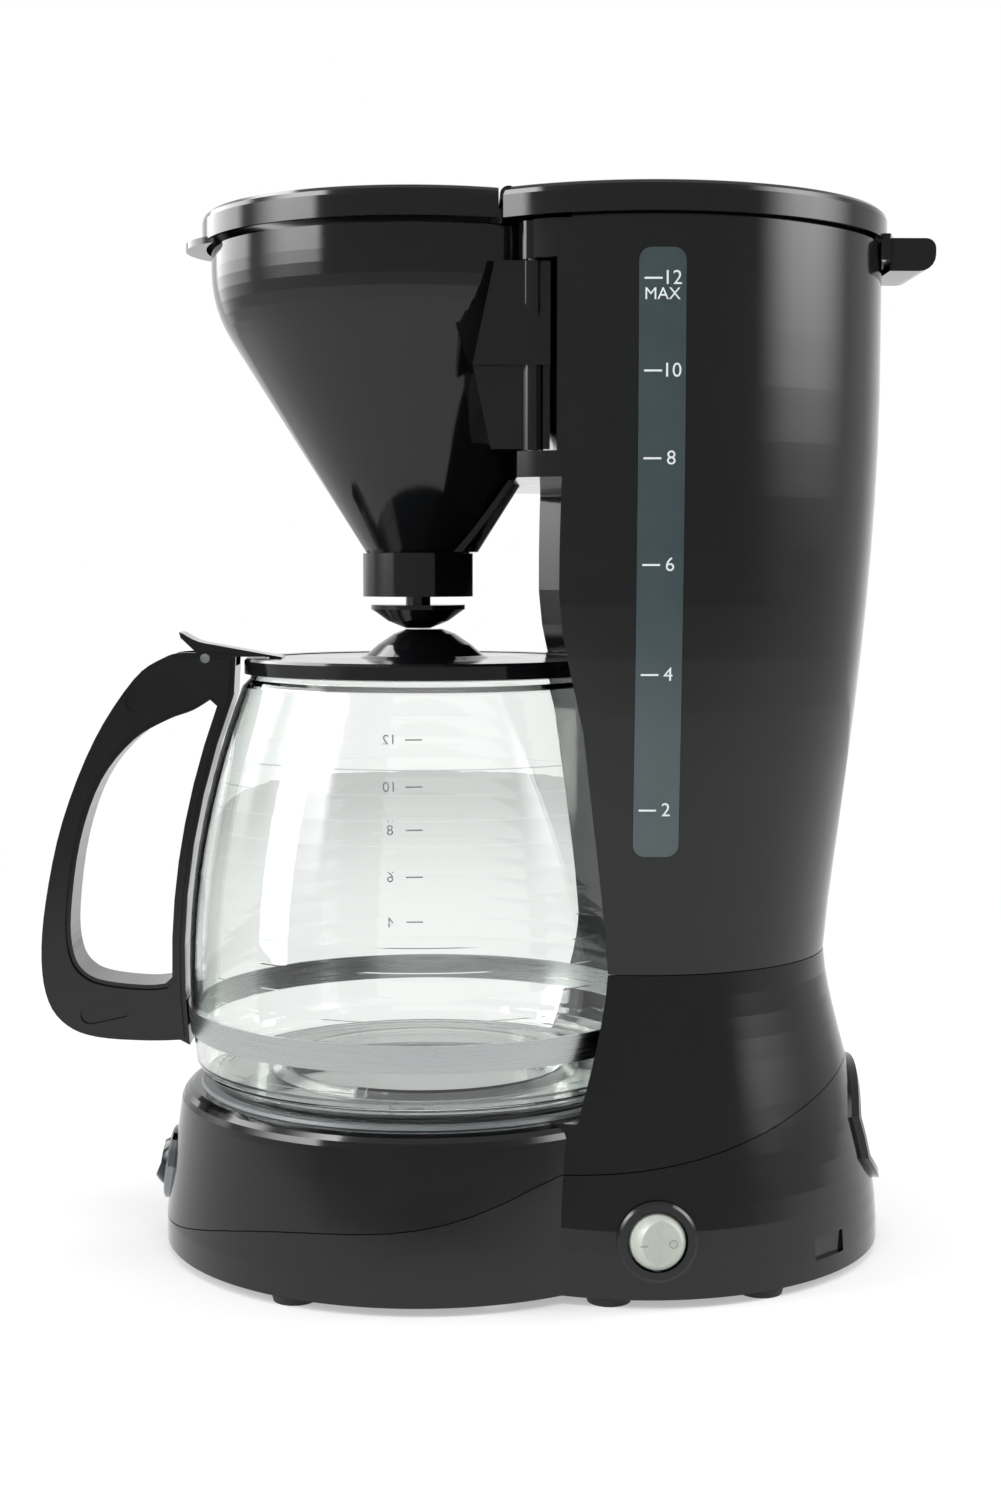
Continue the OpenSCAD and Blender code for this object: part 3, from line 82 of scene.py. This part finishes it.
def moulded_black(name, dark, light, rough_low, rough_high, peel):
    """Injection moulded black plastic: faint flow clouds in colour and gloss, and a fine orange peel."""
    finish, tree, surface, place = start_finish(name, IOR=1.5)
    clouds = add(
        tree,
        "ShaderNodeTexNoise",
        {"Vector": place, "Scale": every(FLOW_CLOUD), "Detail": 4.0, "Roughness": 0.6},
    )
    tint = add(
        tree,
        "ShaderNodeMix",
        {"Factor": clouds.outputs["Fac"], "A": linear(dark), "B": linear(light)},
        data_type="RGBA",
    )
    gloss = add(
        tree,
        "ShaderNodeMapRange",
        {
            "Value": clouds.outputs["Fac"],
            "From Min": 0.3,
            "From Max": 0.7,
            "To Min": rough_low,
            "To Max": rough_high,
        },
    )
    waves = add(tree, "ShaderNodeTexNoise", {"Vector": place, "Scale": every(SINK_MARK), "Detail": 1.0})
    pores = add(tree, "ShaderNodeTexNoise", {"Vector": place, "Scale": every(ORANGE_PEEL), "Detail": 2.0})
    sink = add(
        tree,
        "ShaderNodeBump",
        {"Strength": 0.25, "Distance": 0.2 * MM, "Height": waves.outputs["Fac"]},
    )
    skin = add(
        tree,
        "ShaderNodeBump",
        {
            "Strength": peel,
            "Distance": 0.04 * MM,
            "Height": pores.outputs["Fac"],
            "Normal": sink.outputs["Normal"],
        },
    )
    tree.links.new(tint.outputs["Result"], surface.inputs["Base Color"])
    tree.links.new(gloss.outputs["Result"], surface.inputs["Roughness"])
    tree.links.new(skin.outputs["Normal"], surface.inputs["Normal"])
    return finish


def brushed_metal(name, base, rough, streak_z, streak_xy):
    """Rolled or drawn metal: fine streaks run the way it was brushed, so many millimetres up and across.

    Real brush lines are a few hundredths of a millimetre wide. They are drawn coarser, so that they show."""
    finish, tree, surface, place = start_finish(name, Metallic=1.0)
    lie = add(
        tree,
        "ShaderNodeMapping",
        {"Vector": place, "Scale": (every(streak_xy), every(streak_xy), every(streak_z))},
    )
    streaks = add(
        tree,
        "ShaderNodeTexNoise",
        {"Vector": lie.outputs["Vector"], "Scale": 1.0, "Detail": 5.0, "Roughness": 0.7},
    )
    tint = add(
        tree,
        "ShaderNodeMix",
        {"Factor": streaks.outputs["Fac"], "A": linear(base[0]), "B": linear(base[1])},
        data_type="RGBA",
    )
    gloss = add(
        tree,
        "ShaderNodeMapRange",
        {"Value": streaks.outputs["Fac"], "To Min": rough[0], "To Max": rough[1]},
    )
    groove = add(
        tree,
        "ShaderNodeBump",
        {"Strength": 0.2, "Distance": 0.03 * MM, "Height": streaks.outputs["Fac"]},
    )
    tree.links.new(tint.outputs["Result"], surface.inputs["Base Color"])
    tree.links.new(gloss.outputs["Result"], surface.inputs["Roughness"])
    tree.links.new(groove.outputs["Normal"], surface.inputs["Normal"])
    return finish


def soft_solid(name, dark, light, rough, grain, depth):
    """A dull solid with an even grain: rubber, silicone, unfilled polymer, ceramic, enamel or ink.

    grain is its width and depth its height, in millimetres. Real grain is finer than this: it is drawn
    as coarse as it needs to show."""
    finish, tree, surface, place = start_finish(name, Roughness=rough)
    specks = add(tree, "ShaderNodeTexNoise", {"Vector": place, "Scale": every(grain), "Detail": 3.0})
    tint = add(
        tree,
        "ShaderNodeMix",
        {"Factor": specks.outputs["Fac"], "A": linear(dark), "B": linear(light)},
        data_type="RGBA",
    )
    pits = add(
        tree,
        "ShaderNodeBump",
        {"Strength": 0.3, "Distance": depth * MM, "Height": specks.outputs["Fac"]},
    )
    tree.links.new(tint.outputs["Result"], surface.inputs["Base Color"])
    tree.links.new(pits.outputs["Normal"], surface.inputs["Normal"])
    return finish


BLOW_WAVE = 55.6


def blown_glass():
    """Borosilicate glass, blown in a mould: clear, with a green cast where the eye looks along the wall.

    Long shallow waves from the blowing bend what is seen through it."""
    finish, tree, surface, place = start_finish("borosilicate glass", Roughness=0.0, IOR=1.47)
    surface.inputs["Transmission Weight"].default_value = 1.0
    edge = add(tree, "ShaderNodeLayerWeight", {"Blend": 0.25})
    cast = add(
        tree,
        "ShaderNodeMix",
        {"Factor": edge.outputs["Facing"], "A": linear("fefffe"), "B": linear("dfe9e2")},
        data_type="RGBA",
    )
    waves = add(tree, "ShaderNodeTexNoise", {"Vector": place, "Scale": every(BLOW_WAVE), "Detail": 1.0})
    blow = add(
        tree,
        "ShaderNodeBump",
        {"Strength": 0.15, "Distance": 0.4 * MM, "Height": waves.outputs["Fac"]},
    )
    tree.links.new(cast.outputs["Result"], surface.inputs["Base Color"])
    tree.links.new(blow.outputs["Normal"], surface.inputs["Normal"])
    return finish


# Painted light and shade: the gauge window's colour is painted paler below the first height and darker above
# the second, in metres.
PAINTED_LIGHT_BELOW = 165.0 * MM
PAINTED_SHADE_ABOVE = 200.0 * MM
SMOKE_CLOUD = 14.3


def smoky_window():
    """Smoked SAN gauge strip: blue grey. Light and shade are painted into its colour: paler low down, where the
    tank behind it narrows, and darker above.
    """
    finish, tree, surface, place = start_finish("smoked gauge window", Roughness=0.22, IOR=1.56)
    height = add(tree, "ShaderNodeSeparateXYZ", {"Vector": place})
    painted_light_by_height = add(
        tree,
        "ShaderNodeMapRange",
        {"Value": height.outputs["Z"], "From Min": PAINTED_LIGHT_BELOW, "From Max": PAINTED_SHADE_ABOVE},
    )
    clouds = add(tree, "ShaderNodeTexNoise", {"Vector": place, "Scale": every(SMOKE_CLOUD), "Detail": 3.0})
    # Painted light and shade: the paler colour low down, the darker colour above.
    depth = add(
        tree,
        "ShaderNodeMix",
        {"Factor": painted_light_by_height.outputs["Result"], "A": linear("4b5859"), "B": linear("2b3c41")},
        data_type="RGBA",
    )
    veil = add(
        tree,
        "ShaderNodeMix",
        {"Factor": clouds.outputs["Fac"], "A": depth.outputs["Result"], "B": linear("404d50")},
        data_type="RGBA",
    )
    tree.links.new(veil.outputs["Result"], surface.inputs["Base Color"])
    return finish


# Two ribs of the grid behind the lens lie this far apart, in millimetres.
LENS_RIBS = 1.11


def lit_lens():
    """Frosted polycarbonate switch cap: a moulded grid inside breaks up the light."""
    finish, tree, surface, place = start_finish("frosted switch lens", Roughness=0.3, IOR=1.58)
    surface.inputs["Transmission Weight"].default_value = 0.25
    grid = add(
        tree,
        "ShaderNodeTexBrick",
        {
            "Vector": place,
            "Scale": every(LENS_RIBS),
            "Mortar Size": 0.12,
            "Color1": linear("f4f7ef"),
            "Color2": linear("f0f4eb"),
            "Mortar": linear("ccd2c8"),
        },
        offset=0.0,
    )
    ribs = add(
        tree,
        "ShaderNodeBump",
        {"Strength": 0.4, "Distance": 0.2 * MM, "Height": grid.outputs["Fac"]},
    )
    tree.links.new(grid.outputs["Color"], surface.inputs["Base Color"])
    tree.links.new(ribs.outputs["Normal"], surface.inputs["Normal"])
    return finish


FINISHES = {
    # Moulded against polished steel: deep black with sharp highlights.
    "gloss_abs": moulded_black("glossy black ABS", "08090a", "101113", 0.06, 0.13, 0.10),
    # Moulded against spark-eroded steel: greyer, with a broad dull sheen.
    "tray_pp": moulded_black("matt black polypropylene", "121314", "1c1d1f", 0.45, 0.6, 0.5),
    # Sprayed and baked: near black, with a soft glow that hides scratches.
    "enamel": soft_solid("black non-stick enamel", "131415", "1d1e20", 0.32, 0.714, 0.04),
    # Rolled strip brushed along its length: long lines round the glass.
    "band_steel": brushed_metal("brushed stainless steel", ("a9acad", "c9cbcb"), (0.22, 0.34), 0.385, 25.0),
    # Electroplated small parts: pale and a little cloudy.
    "zinc_steel": brushed_metal("zinc plated steel", ("8f9496", "b9bdbf"), (0.25, 0.4), 2.0, 2.0),
    # Polished and plated: it shows the dark deck and the white room as they are.
    "chrome": brushed_metal("chromed ring", ("7c8083", "94989b"), (0.05, 0.1), 11.1, 11.1),
    # Drawn tube: even and satin.
    "sheath": brushed_metal("drawn aluminium sheath", ("a8abac", "c4c7c8"), (0.3, 0.42), 4.55, 4.55),
    # Moulded rubber goods: soft edges to the highlights and no mirror.
    "ring_silicone": soft_solid("grey silicone ring", "6f7476", "7f8486", 0.38, 1.43, 0.05),
    "pad_rubber": soft_solid("nitrile rubber", "161718", "222325", 0.75, 0.833, 0.1),
    "hose_silicone": soft_solid("translucent silicone", "d6d0c4", "e4dfd4", 0.5, 2.5, 0.04),
    # Unfilled moulding: milky white and waxy.
    "natural_pp": soft_solid("natural polypropylene", "e2e2dc", "ecece8", 0.42, 2.0, 0.04),
    # Pressed and fired: cream and chalky.
    "steatite": soft_solid("steatite ceramic", "dcd5c2", "e8e2d2", 0.6, 1.11, 0.06),
    # Screen printed: a flat matt film.
    "screen_ink": soft_solid("white screen ink", "d9dfe2", "e9edef", 0.55, 0.667, 0.02),
    "glass_ink": soft_solid("grey screen ink on glass", "a9b0ad", "bcc2bf", 0.6, 0.667, 0.02),
    "mark_ink": soft_solid("grey switch mark", "8f9591", "a0a6a2", 0.6, 0.667, 0.02),
    "glass": blown_glass(),
    "window": smoky_window(),
    "lens": lit_lens(),
}

NODE_FINISH = {
    "gloss_abs": "base_skirt deck_housing tank_shell brew_head brew_cover tank_lid filter_holder "
    "drip_stop_housing drip_stop_plunger power_switch_case warm_rocker carafe_handle carafe_collar carafe_lid",
    "tray_pp": "base_tray cord_well",
    "enamel": "hotplate",
    "band_steel": "carafe_band",
    "zinc_steel": "base_screws element_bracket hose_clips cover_screws tank_lid_pins holder_hinge_pin "
    "drip_stop_spring handle_screw carafe_lid_pin",
    "chrome": "warm_switch_case",
    "sheath": "heating_element",
    "ring_silicone": "hotplate_seal",
    "pad_rubber": "feet",
    "hose_silicone": "cold_hose hot_hose drip_stop_seal",
    "natural_pp": "check_valve riser_tube spray_arm terminal_block",
    "steatite": "thermostat thermal_fuses",
    "glass": "carafe_glass",
    "window": "gauge_window",
    "lens": "power_rocker",
}

for finish, names in NODE_FINISH.items():
    for name in names.split():
        cad[name].data.materials.clear()
        cad[name].data.materials.append(FINISHES[finish])

# ---------------------------------------------------------------- marks on the gauge, the glass and the switch

# The height of a plain capital, as a share of the size that a line of type is set at.
CAPITAL = 0.7
CURVE_STEPS = 6
DASH_STEPS = 8

# A printed film stands this far off its surface, and is so thick, in metres.
INK_GAP = 0.02 * MM
GAUGE_INK = 0.06 * MM
THIN_INK = 0.05 * MM

# Marks start this far out from the middle of the machine, in millimetres, and are dropped from there.
OUT_NEAR = 90.0
OUT_FAR = -90.0


def as_piece(name, mesh, finish, body):
    """A finished mesh as a piece that rides on a body."""
    mesh.materials.clear()
    mesh.materials.append(FINISHES[finish])
    piece = bpy.data.objects.new(name, mesh)
    bpy.context.scene.collection.objects.link(piece)
    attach(piece, body)
    return piece


def letters(words, height):
    """Plain figures as a fine flat mesh in the XY plane, centred on their own middle."""
    curve = bpy.data.curves.new("figures", "FONT")
    curve.body = words
    curve.size = height / CAPITAL
    curve.align_x = "CENTER"
    curve.align_y = "CENTER"
    curve.resolution_u = CURVE_STEPS
    made = bpy.data.objects.new("figures", curve)
    bpy.context.scene.collection.objects.link(made)
    bpy.context.view_layer.update()
    mesh = bpy.data.meshes.new_from_object(made.evaluated_get(bpy.context.evaluated_depsgraph_get()))
    bpy.data.objects.remove(made)
    shape = bmesh.new()
    shape.from_mesh(mesh)
    return shape


def dash(length, height):
    """A plain stroke in the XY plane."""
    shape = bmesh.new()
    bmesh.ops.create_grid(shape, x_segments=DASH_STEPS, y_segments=1, size=0.5)
    bmesh.ops.scale(shape, vec=(length, height, 1), verts=shape.verts)
    return shape


def print_on(surface, shapes, ray, thickness):
    """Lays flat shapes on the first face of a surface that a ray meets and gives them a film's thickness.

    shapes holds (shape, matrix) pairs: the matrix stands a shape up in front of the surface."""
    made = bmesh.new()
    corners = [v.co for v in surface.data.vertices]
    faces = [p.vertices for p in surface.data.polygons]
    tree = BVHTree.FromPolygons(corners, faces)
    for shape, stand in shapes:
        bmesh.ops.transform(shape, matrix=stand, verts=shape.verts)
        for vert in shape.verts:
            hit = tree.ray_cast(vert.co, ray)[0]
            if hit is not None:
                vert.co = hit - Vector(ray) * INK_GAP
        bits = bpy.data.meshes.new("bits")
        shape.to_mesh(bits)
        made.from_mesh(bits)
        bpy.data.meshes.remove(bits)
        shape.free()
    out = bmesh.ops.extrude_face_region(made, geom=made.faces[:])
    moved = [g for g in out["geom"] if isinstance(g, bmesh.types.BMVert)]
    bmesh.ops.translate(made, vec=-Vector(ray) * thickness, verts=moved)
    bmesh.ops.recalc_face_normals(made, faces=made.faces)
    mesh = bpy.data.meshes.new("print")
    made.to_mesh(mesh)
    made.free()
    return mesh


def facing_near(x, y, z):
    """Stands a flat shape up so that it is read from the near side, with its middle at a point in mm."""
    turn = Matrix(((0, 0, 1), (1, 0, 0), (0, 1, 0))).to_4x4()
    return Matrix.Translation(Vector((x, y, z)) * MM) @ turn


def facing_far(x, y, z):
    """The same, read from the far side."""
    turn = Matrix(((0, 0, -1), (-1, 0, 0), (0, 1, 0))).to_4x4()
    return Matrix.Translation(Vector((x, y, z)) * MM) @ turn


# Cups, and the height of their mark in millimetres.
GAUGE_MARKS = [("12", 292.4), ("10", 267.0), ("8", 242.8), ("6", 213.1), ("4", 182.0), ("2", 142.8)]
GAUGE_DASH_Y = 46.4
GAUGE_FIGURE_Y = 51.7
GAUGE_FIGURE_HEIGHT = 3.9 * MM
MAX_Y = 48.9
MAX_Z = 288.0
marks = []
for figure, z in GAUGE_MARKS:
    marks.append((dash(5.0 * MM, 0.55 * MM), facing_near(OUT_NEAR, GAUGE_DASH_Y, z)))
    marks.append((letters(figure, GAUGE_FIGURE_HEIGHT), facing_near(OUT_NEAR, GAUGE_FIGURE_Y, z)))
marks.append((letters("MAX", 3.3 * MM), facing_near(OUT_NEAR, MAX_Y, MAX_Z)))
gauge_print = print_on(cad["gauge_window"], marks, (-1, 0, 0), GAUGE_INK)
as_piece("gauge_marks", gauge_print, "screen_ink", "machine")

CARAFE_MARKS = [("12", 153.2), ("10", 136.4), ("8", 120.9), ("6", 104.0), ("4", 87.9)]
CARAFE_DASH_Y = -22.6
CARAFE_FIGURE_Y = -31.2
marks = []
for figure, z in CARAFE_MARKS:
    marks.append((dash(6.0 * MM, 0.5 * MM), facing_far(OUT_FAR, CARAFE_DASH_Y, z)))
    marks.append((letters(figure, 3.6 * MM), facing_far(OUT_FAR, CARAFE_FIGURE_Y, z)))
carafe_print = print_on(cad["carafe_glass"], marks, (1, 0, 0), THIN_INK)
as_piece("carafe_marks", carafe_print, "glass_ink", "carafe")

# On one side of the cap's middle a dash, and on the other a ring.
SWITCH_Z = 19.6
marks = [
    (dash(2.2 * MM, 0.5 * MM), facing_near(OUT_NEAR, 44.7, SWITCH_Z)),
    (letters("O", 2.5 * MM), facing_near(OUT_NEAR, 53.3, SWITCH_Z)),
]
switch_print = print_on(cad["power_rocker"], marks, (-1, 0, 0), THIN_INK)
as_piece("switch_marks", switch_print, "mark_ink", "power_rocker")

# ---------------------------------------------------------------- studio

WHITE = (1.0, 1.0, 1.0, 1.0)
FLOOR_RADIUS = 1.6


def stage_floor():
    """A pale paper sweep that keeps the shadow and ends in white.

    In mirrors it dims outwards, and again towards the camera, so that it meets the room without a step."""
    mesh = bpy.data.meshes.new("floor")
    shape = bmesh.new()
    bmesh.ops.create_circle(shape, cap_ends=True, segments=96, radius=FLOOR_RADIUS)
    shape.to_mesh(mesh)
    shape.free()
    floor = bpy.data.objects.new("floor", mesh)
    bpy.context.scene.collection.objects.link(floor)
    finish = bpy.data.materials.new("white studio floor")
    finish.use_nodes = True
    tree = finish.node_tree
    tree.nodes.clear()
    place = add(tree, "ShaderNodeTexCoord").outputs["Object"]
    reach = add(tree, "ShaderNodeVectorMath", {0: place}, operation="LENGTH")
    way = add(tree, "ShaderNodeSeparateXYZ", {"Vector": place})
    away = add(
        tree,
        "ShaderNodeMapRange",
        {"Value": reach.outputs["Value"], "From Min": 0.2, "From Max": 0.9, "To Min": 0.4, "To Max": 1.0},
        interpolation_type="SMOOTHSTEP",
    )
    ahead = add(
        tree,
        "ShaderNodeMapRange",
        {"Value": way.outputs["X"], "From Min": 0.3, "From Max": 1.0, "To Min": 1.0, "To Max": 0.6},
        interpolation_type="SMOOTHSTEP",
    )
    outwards = add(
        tree,
        "ShaderNodeMapRange",
        {"Value": reach.outputs["Value"], "From Min": 0.5, "From Max": 1.5, "To Min": 0.95, "To Max": 0.62},
        interpolation_type="SMOOTHSTEP",
    )
    sheen = add(
        tree,
        "ShaderNodeMath",
        {0: ahead.outputs["Result"], 1: outwards.outputs["Result"]},
        operation="MULTIPLY",
    )
    rays = add(tree, "ShaderNodeLightPath")
    seen = add(
        tree,
        "ShaderNodeMath",
        {0: rays.outputs["Is Camera Ray"], 1: rays.outputs["Is Transmission Ray"]},
        operation="MAXIMUM",
    )
    part = add(
        tree,
        "ShaderNodeMath",
        {0: away.outputs["Result"], 1: seen.outputs[0]},
        operation="MULTIPLY",
    )
    paper = add(tree, "ShaderNodeBsdfDiffuse", {"Color": linear("f4f4f4")})
    glow = add(tree, "ShaderNodeEmission", {"Color": WHITE, "Strength": 1.0})
    both = add(tree, "ShaderNodeMixShader", {0: part.outputs[0], 1: paper.outputs[0], 2: glow.outputs[0]})
    mirrored = add(tree, "ShaderNodeEmission", {"Color": WHITE, "Strength": sheen.outputs[0]})
    split = add(
        tree,
        "ShaderNodeMixShader",
        {0: rays.outputs["Is Glossy Ray"], 1: both.outputs[0], 2: mirrored.outputs[0]},
    )
    out = add(tree, "ShaderNodeOutputMaterial")
    tree.links.new(split.outputs[0], out.inputs["Surface"])
    mesh.materials.append(finish)
    return floor


def white_room():
    """Soft white light from all round; in mirrors the room is dimmer at the sides and dim in front."""
    world = bpy.data.worlds.new("white room")
    bpy.context.scene.world = world
    world.use_nodes = True
    tree = world.node_tree
    tree.nodes.clear()
    rays = add(tree, "ShaderNodeLightPath")
    place = add(tree, "ShaderNodeTexCoord").outputs["Generated"]
    way = add(tree, "ShaderNodeSeparateXYZ", {"Vector": place})
    back = add(
        tree,
        "ShaderNodeMapRange",
        {"Value": way.outputs["X"], "From Min": -0.9, "From Max": -0.6, "To Min": 1.0, "To Max": 0.62},
        interpolation_type="SMOOTHSTEP",
    )
    front = add(
        tree,
        "ShaderNodeMapRange",
        {"Value": way.outputs["X"], "From Min": 0.3, "From Max": 0.75, "To Min": 0.0, "To Max": -0.25},
        interpolation_type="SMOOTHSTEP",
    )
    walls = add(
        tree,
        "ShaderNodeMath",
        {0: back.outputs["Result"], 1: front.outputs["Result"]},
        operation="ADD",
    )
    soft = add(tree, "ShaderNodeBackground", {"Color": WHITE, "Strength": 0.55})
    mirrored = add(tree, "ShaderNodeBackground", {"Color": WHITE, "Strength": walls.outputs[0]})
    white = add(tree, "ShaderNodeBackground", {"Color": WHITE, "Strength": 1.0})
    first = add(
        tree,
        "ShaderNodeMixShader",
        {0: rays.outputs["Is Glossy Ray"], 1: soft.outputs[0], 2: mirrored.outputs[0]},
    )
    clear = add(
        tree,
        "ShaderNodeMath",
        {0: rays.outputs["Is Camera Ray"], 1: rays.outputs["Is Transmission Ray"]},
        operation="MAXIMUM",
    )
    second = add(tree, "ShaderNodeMixShader", {0: clear.outputs[0], 1: first.outputs[0], 2: white.outputs[0]})
    out = add(tree, "ShaderNodeOutputWorld")
    tree.links.new(second.outputs[0], out.inputs["Surface"])


# A card's foot, the height from which it is at full strength, and its top, in metres.
CARD_FOOT = 0.12
CARD_FULL = 0.66
CARD_TOP = 1.5


def mirror_card(name, around, side, distance, soft_edge, plateau, strength):
    """An upright card that only mirrors show, as gloss shows a lit soft box: it pales from its foot up.

    around is the point in metres that it faces, and side its way from there in degrees. soft_edge and
    plateau hold the four angles from its middle, right to left, at which it starts, is full, fades and ends."""
    angles = (soft_edge[0], plateau[0], plateau[1], soft_edge[1])
    reach = [distance * math.tan(math.radians(a)) for a in angles]
    turn = math.radians(side)
    out_way = Vector((math.cos(turn), math.sin(turn), 0))
    along = Vector((-math.sin(turn), math.cos(turn), 0))
    middle = Vector((around[0], around[1], 0)) + out_way * distance
    ring = (
        (reach[0], CARD_FOOT),
        (reach[3], CARD_FOOT),
        (reach[3], CARD_TOP),
        (reach[0], CARD_TOP),
    )
    shape = bmesh.new()
    corners = [shape.verts.new(middle + along * x + Vector((0, 0, z))) for x, z in ring]
    shape.faces.new(corners)
    mesh = bpy.data.meshes.new(name)
    shape.to_mesh(mesh)
    shape.free()
    card = bpy.data.objects.new(name, mesh)
    bpy.context.scene.collection.objects.link(card)
    glow = bpy.data.materials.new(name)
    glow.use_nodes = True
    glow.cycles.emission_sampling = "NONE"
    tree = glow.node_tree
    tree.nodes.clear()
    place = add(tree, "ShaderNodeTexCoord").outputs["Object"]
    aside = add(tree, "ShaderNodeVectorMath", {0: place, 1: along}, operation="DOT_PRODUCT")
    centre = middle.dot(along)
    start = add(
        tree,
        "ShaderNodeMapRange",
        {"Value": aside.outputs["Value"], "From Min": centre + reach[0], "From Max": centre + reach[1]},
        interpolation_type="SMOOTHSTEP",
    )
    end = add(
        tree,
        "ShaderNodeMapRange",
        {
            "Value": aside.outputs["Value"],
            "From Min": centre + reach[2],
            "From Max": centre + reach[3],
            "To Min": 1.0,
            "To Max": 0.0,
        },
        interpolation_type="SMOOTHSTEP",
    )
    height = add(tree, "ShaderNodeSeparateXYZ", {"Vector": place})
    rise = add(
        tree,
        "ShaderNodeMapRange",
        {
            "Value": height.outputs["Z"],
            "From Min": CARD_FOOT,
            "From Max": CARD_FULL,
            "To Min": 0.0,
            "To Max": strength,
        },
        interpolation_type="SMOOTHSTEP",
    )
    width = add(
        tree,
        "ShaderNodeMath",
        {0: start.outputs["Result"], 1: end.outputs["Result"]},
        operation="MULTIPLY",
    )
    level = add(
        tree,
        "ShaderNodeMath",
        {0: width.outputs[0], 1: rise.outputs["Result"]},
        operation="MULTIPLY",
    )
    light = add(tree, "ShaderNodeEmission", {"Color": WHITE, "Strength": level.outputs[0]})
    clear = add(tree, "ShaderNodeBsdfTransparent")
    lit = add(tree, "ShaderNodeAddShader", {0: light.outputs[0], 1: clear.outputs[0]})
    rays = add(tree, "ShaderNodeLightPath")
    both = add(
        tree,
        "ShaderNodeMixShader",
        {0: rays.outputs["Is Glossy Ray"], 1: clear.outputs[0], 2: lit.outputs[0]},
    )
    out = add(tree, "ShaderNodeOutputMaterial")
    tree.links.new(both.outputs[0], out.inputs["Surface"])
    mesh.materials.append(glow)
    return card


def softbox(name, place, aim, size, power):
    """A rectangular soft light that looks at a point, all in metres. Mirrors show the cards instead."""
    light = bpy.data.lights.new(name, "AREA")
    light.shape = "RECTANGLE"
    light.size, light.size_y = size
    light.energy = power
    lamp = bpy.data.objects.new(name, light)
    lamp.location = place
    lamp.rotation_mode = "QUATERNION"
    lamp.rotation_quaternion = (Vector(aim) - Vector(place)).to_track_quat("-Z", "Y")
    lamp.visible_glossy = False
    bpy.context.scene.collection.objects.link(lamp)
    return lamp


stage_floor()
white_room()
mirror_card("right card", (0.05, 0.1), 78.0, 1.0, (-30.0, 32.0), (-6.0, 0.0), 7.2)
mirror_card("left card", (0.05, -0.05), -68.0, 0.7, (-30.0, 18.0), (-4.0, 12.0), 11.0)
mirror_card("far left card", (0.0, -0.08), -125.0, 0.8, (-26.0, 26.0), (-18.0, 18.0), 6.0)
MIDDLE = (0.0, 0.0, 0.16)
softbox("left strip", (0.25, -1.0, 0.45), MIDDLE, (0.35, 1.0), 9.0)
softbox("right strip", (-0.15, 1.1, 0.45), MIDDLE, (0.4, 1.1), 11.0)
softbox("overhead", (0.1, 0.0, 1.5), MIDDLE, (1.0, 1.4), 14.0)

# The camera stands on the power switch's side, a little above the middle of the tank, and looks down a
# little. FOCAL_PIXELS is its focal length in pixels of a frame that is FRAME_HEIGHT pixels high.
SENSOR = 36.0
FOCAL_PIXELS = 2145.0
FRAME_HEIGHT = 1500.0
EYE = Vector((676.8, 5.9, 211.2)) * MM
DOWN = 4.75
TURN = -1.5
camera_data = bpy.data.cameras.new("camera")
camera_data.sensor_width = SENSOR
camera_data.lens = FOCAL_PIXELS / FRAME_HEIGHT * SENSOR
camera = bpy.data.objects.new("camera", camera_data)
tilt = math.radians(DOWN)
yaw = Matrix.Rotation(math.radians(TURN), 3, "Z")
sight = Vector((-math.cos(tilt), 0, -math.sin(tilt)))
camera.location = yaw @ EYE
camera.rotation_mode = "QUATERNION"
camera.rotation_quaternion = (yaw @ sight).to_track_quat("-Z", "Y")
bpy.context.scene.collection.objects.link(camera)
bpy.context.scene.camera = camera
bpy.context.scene.view_settings.view_transform = "Standard"
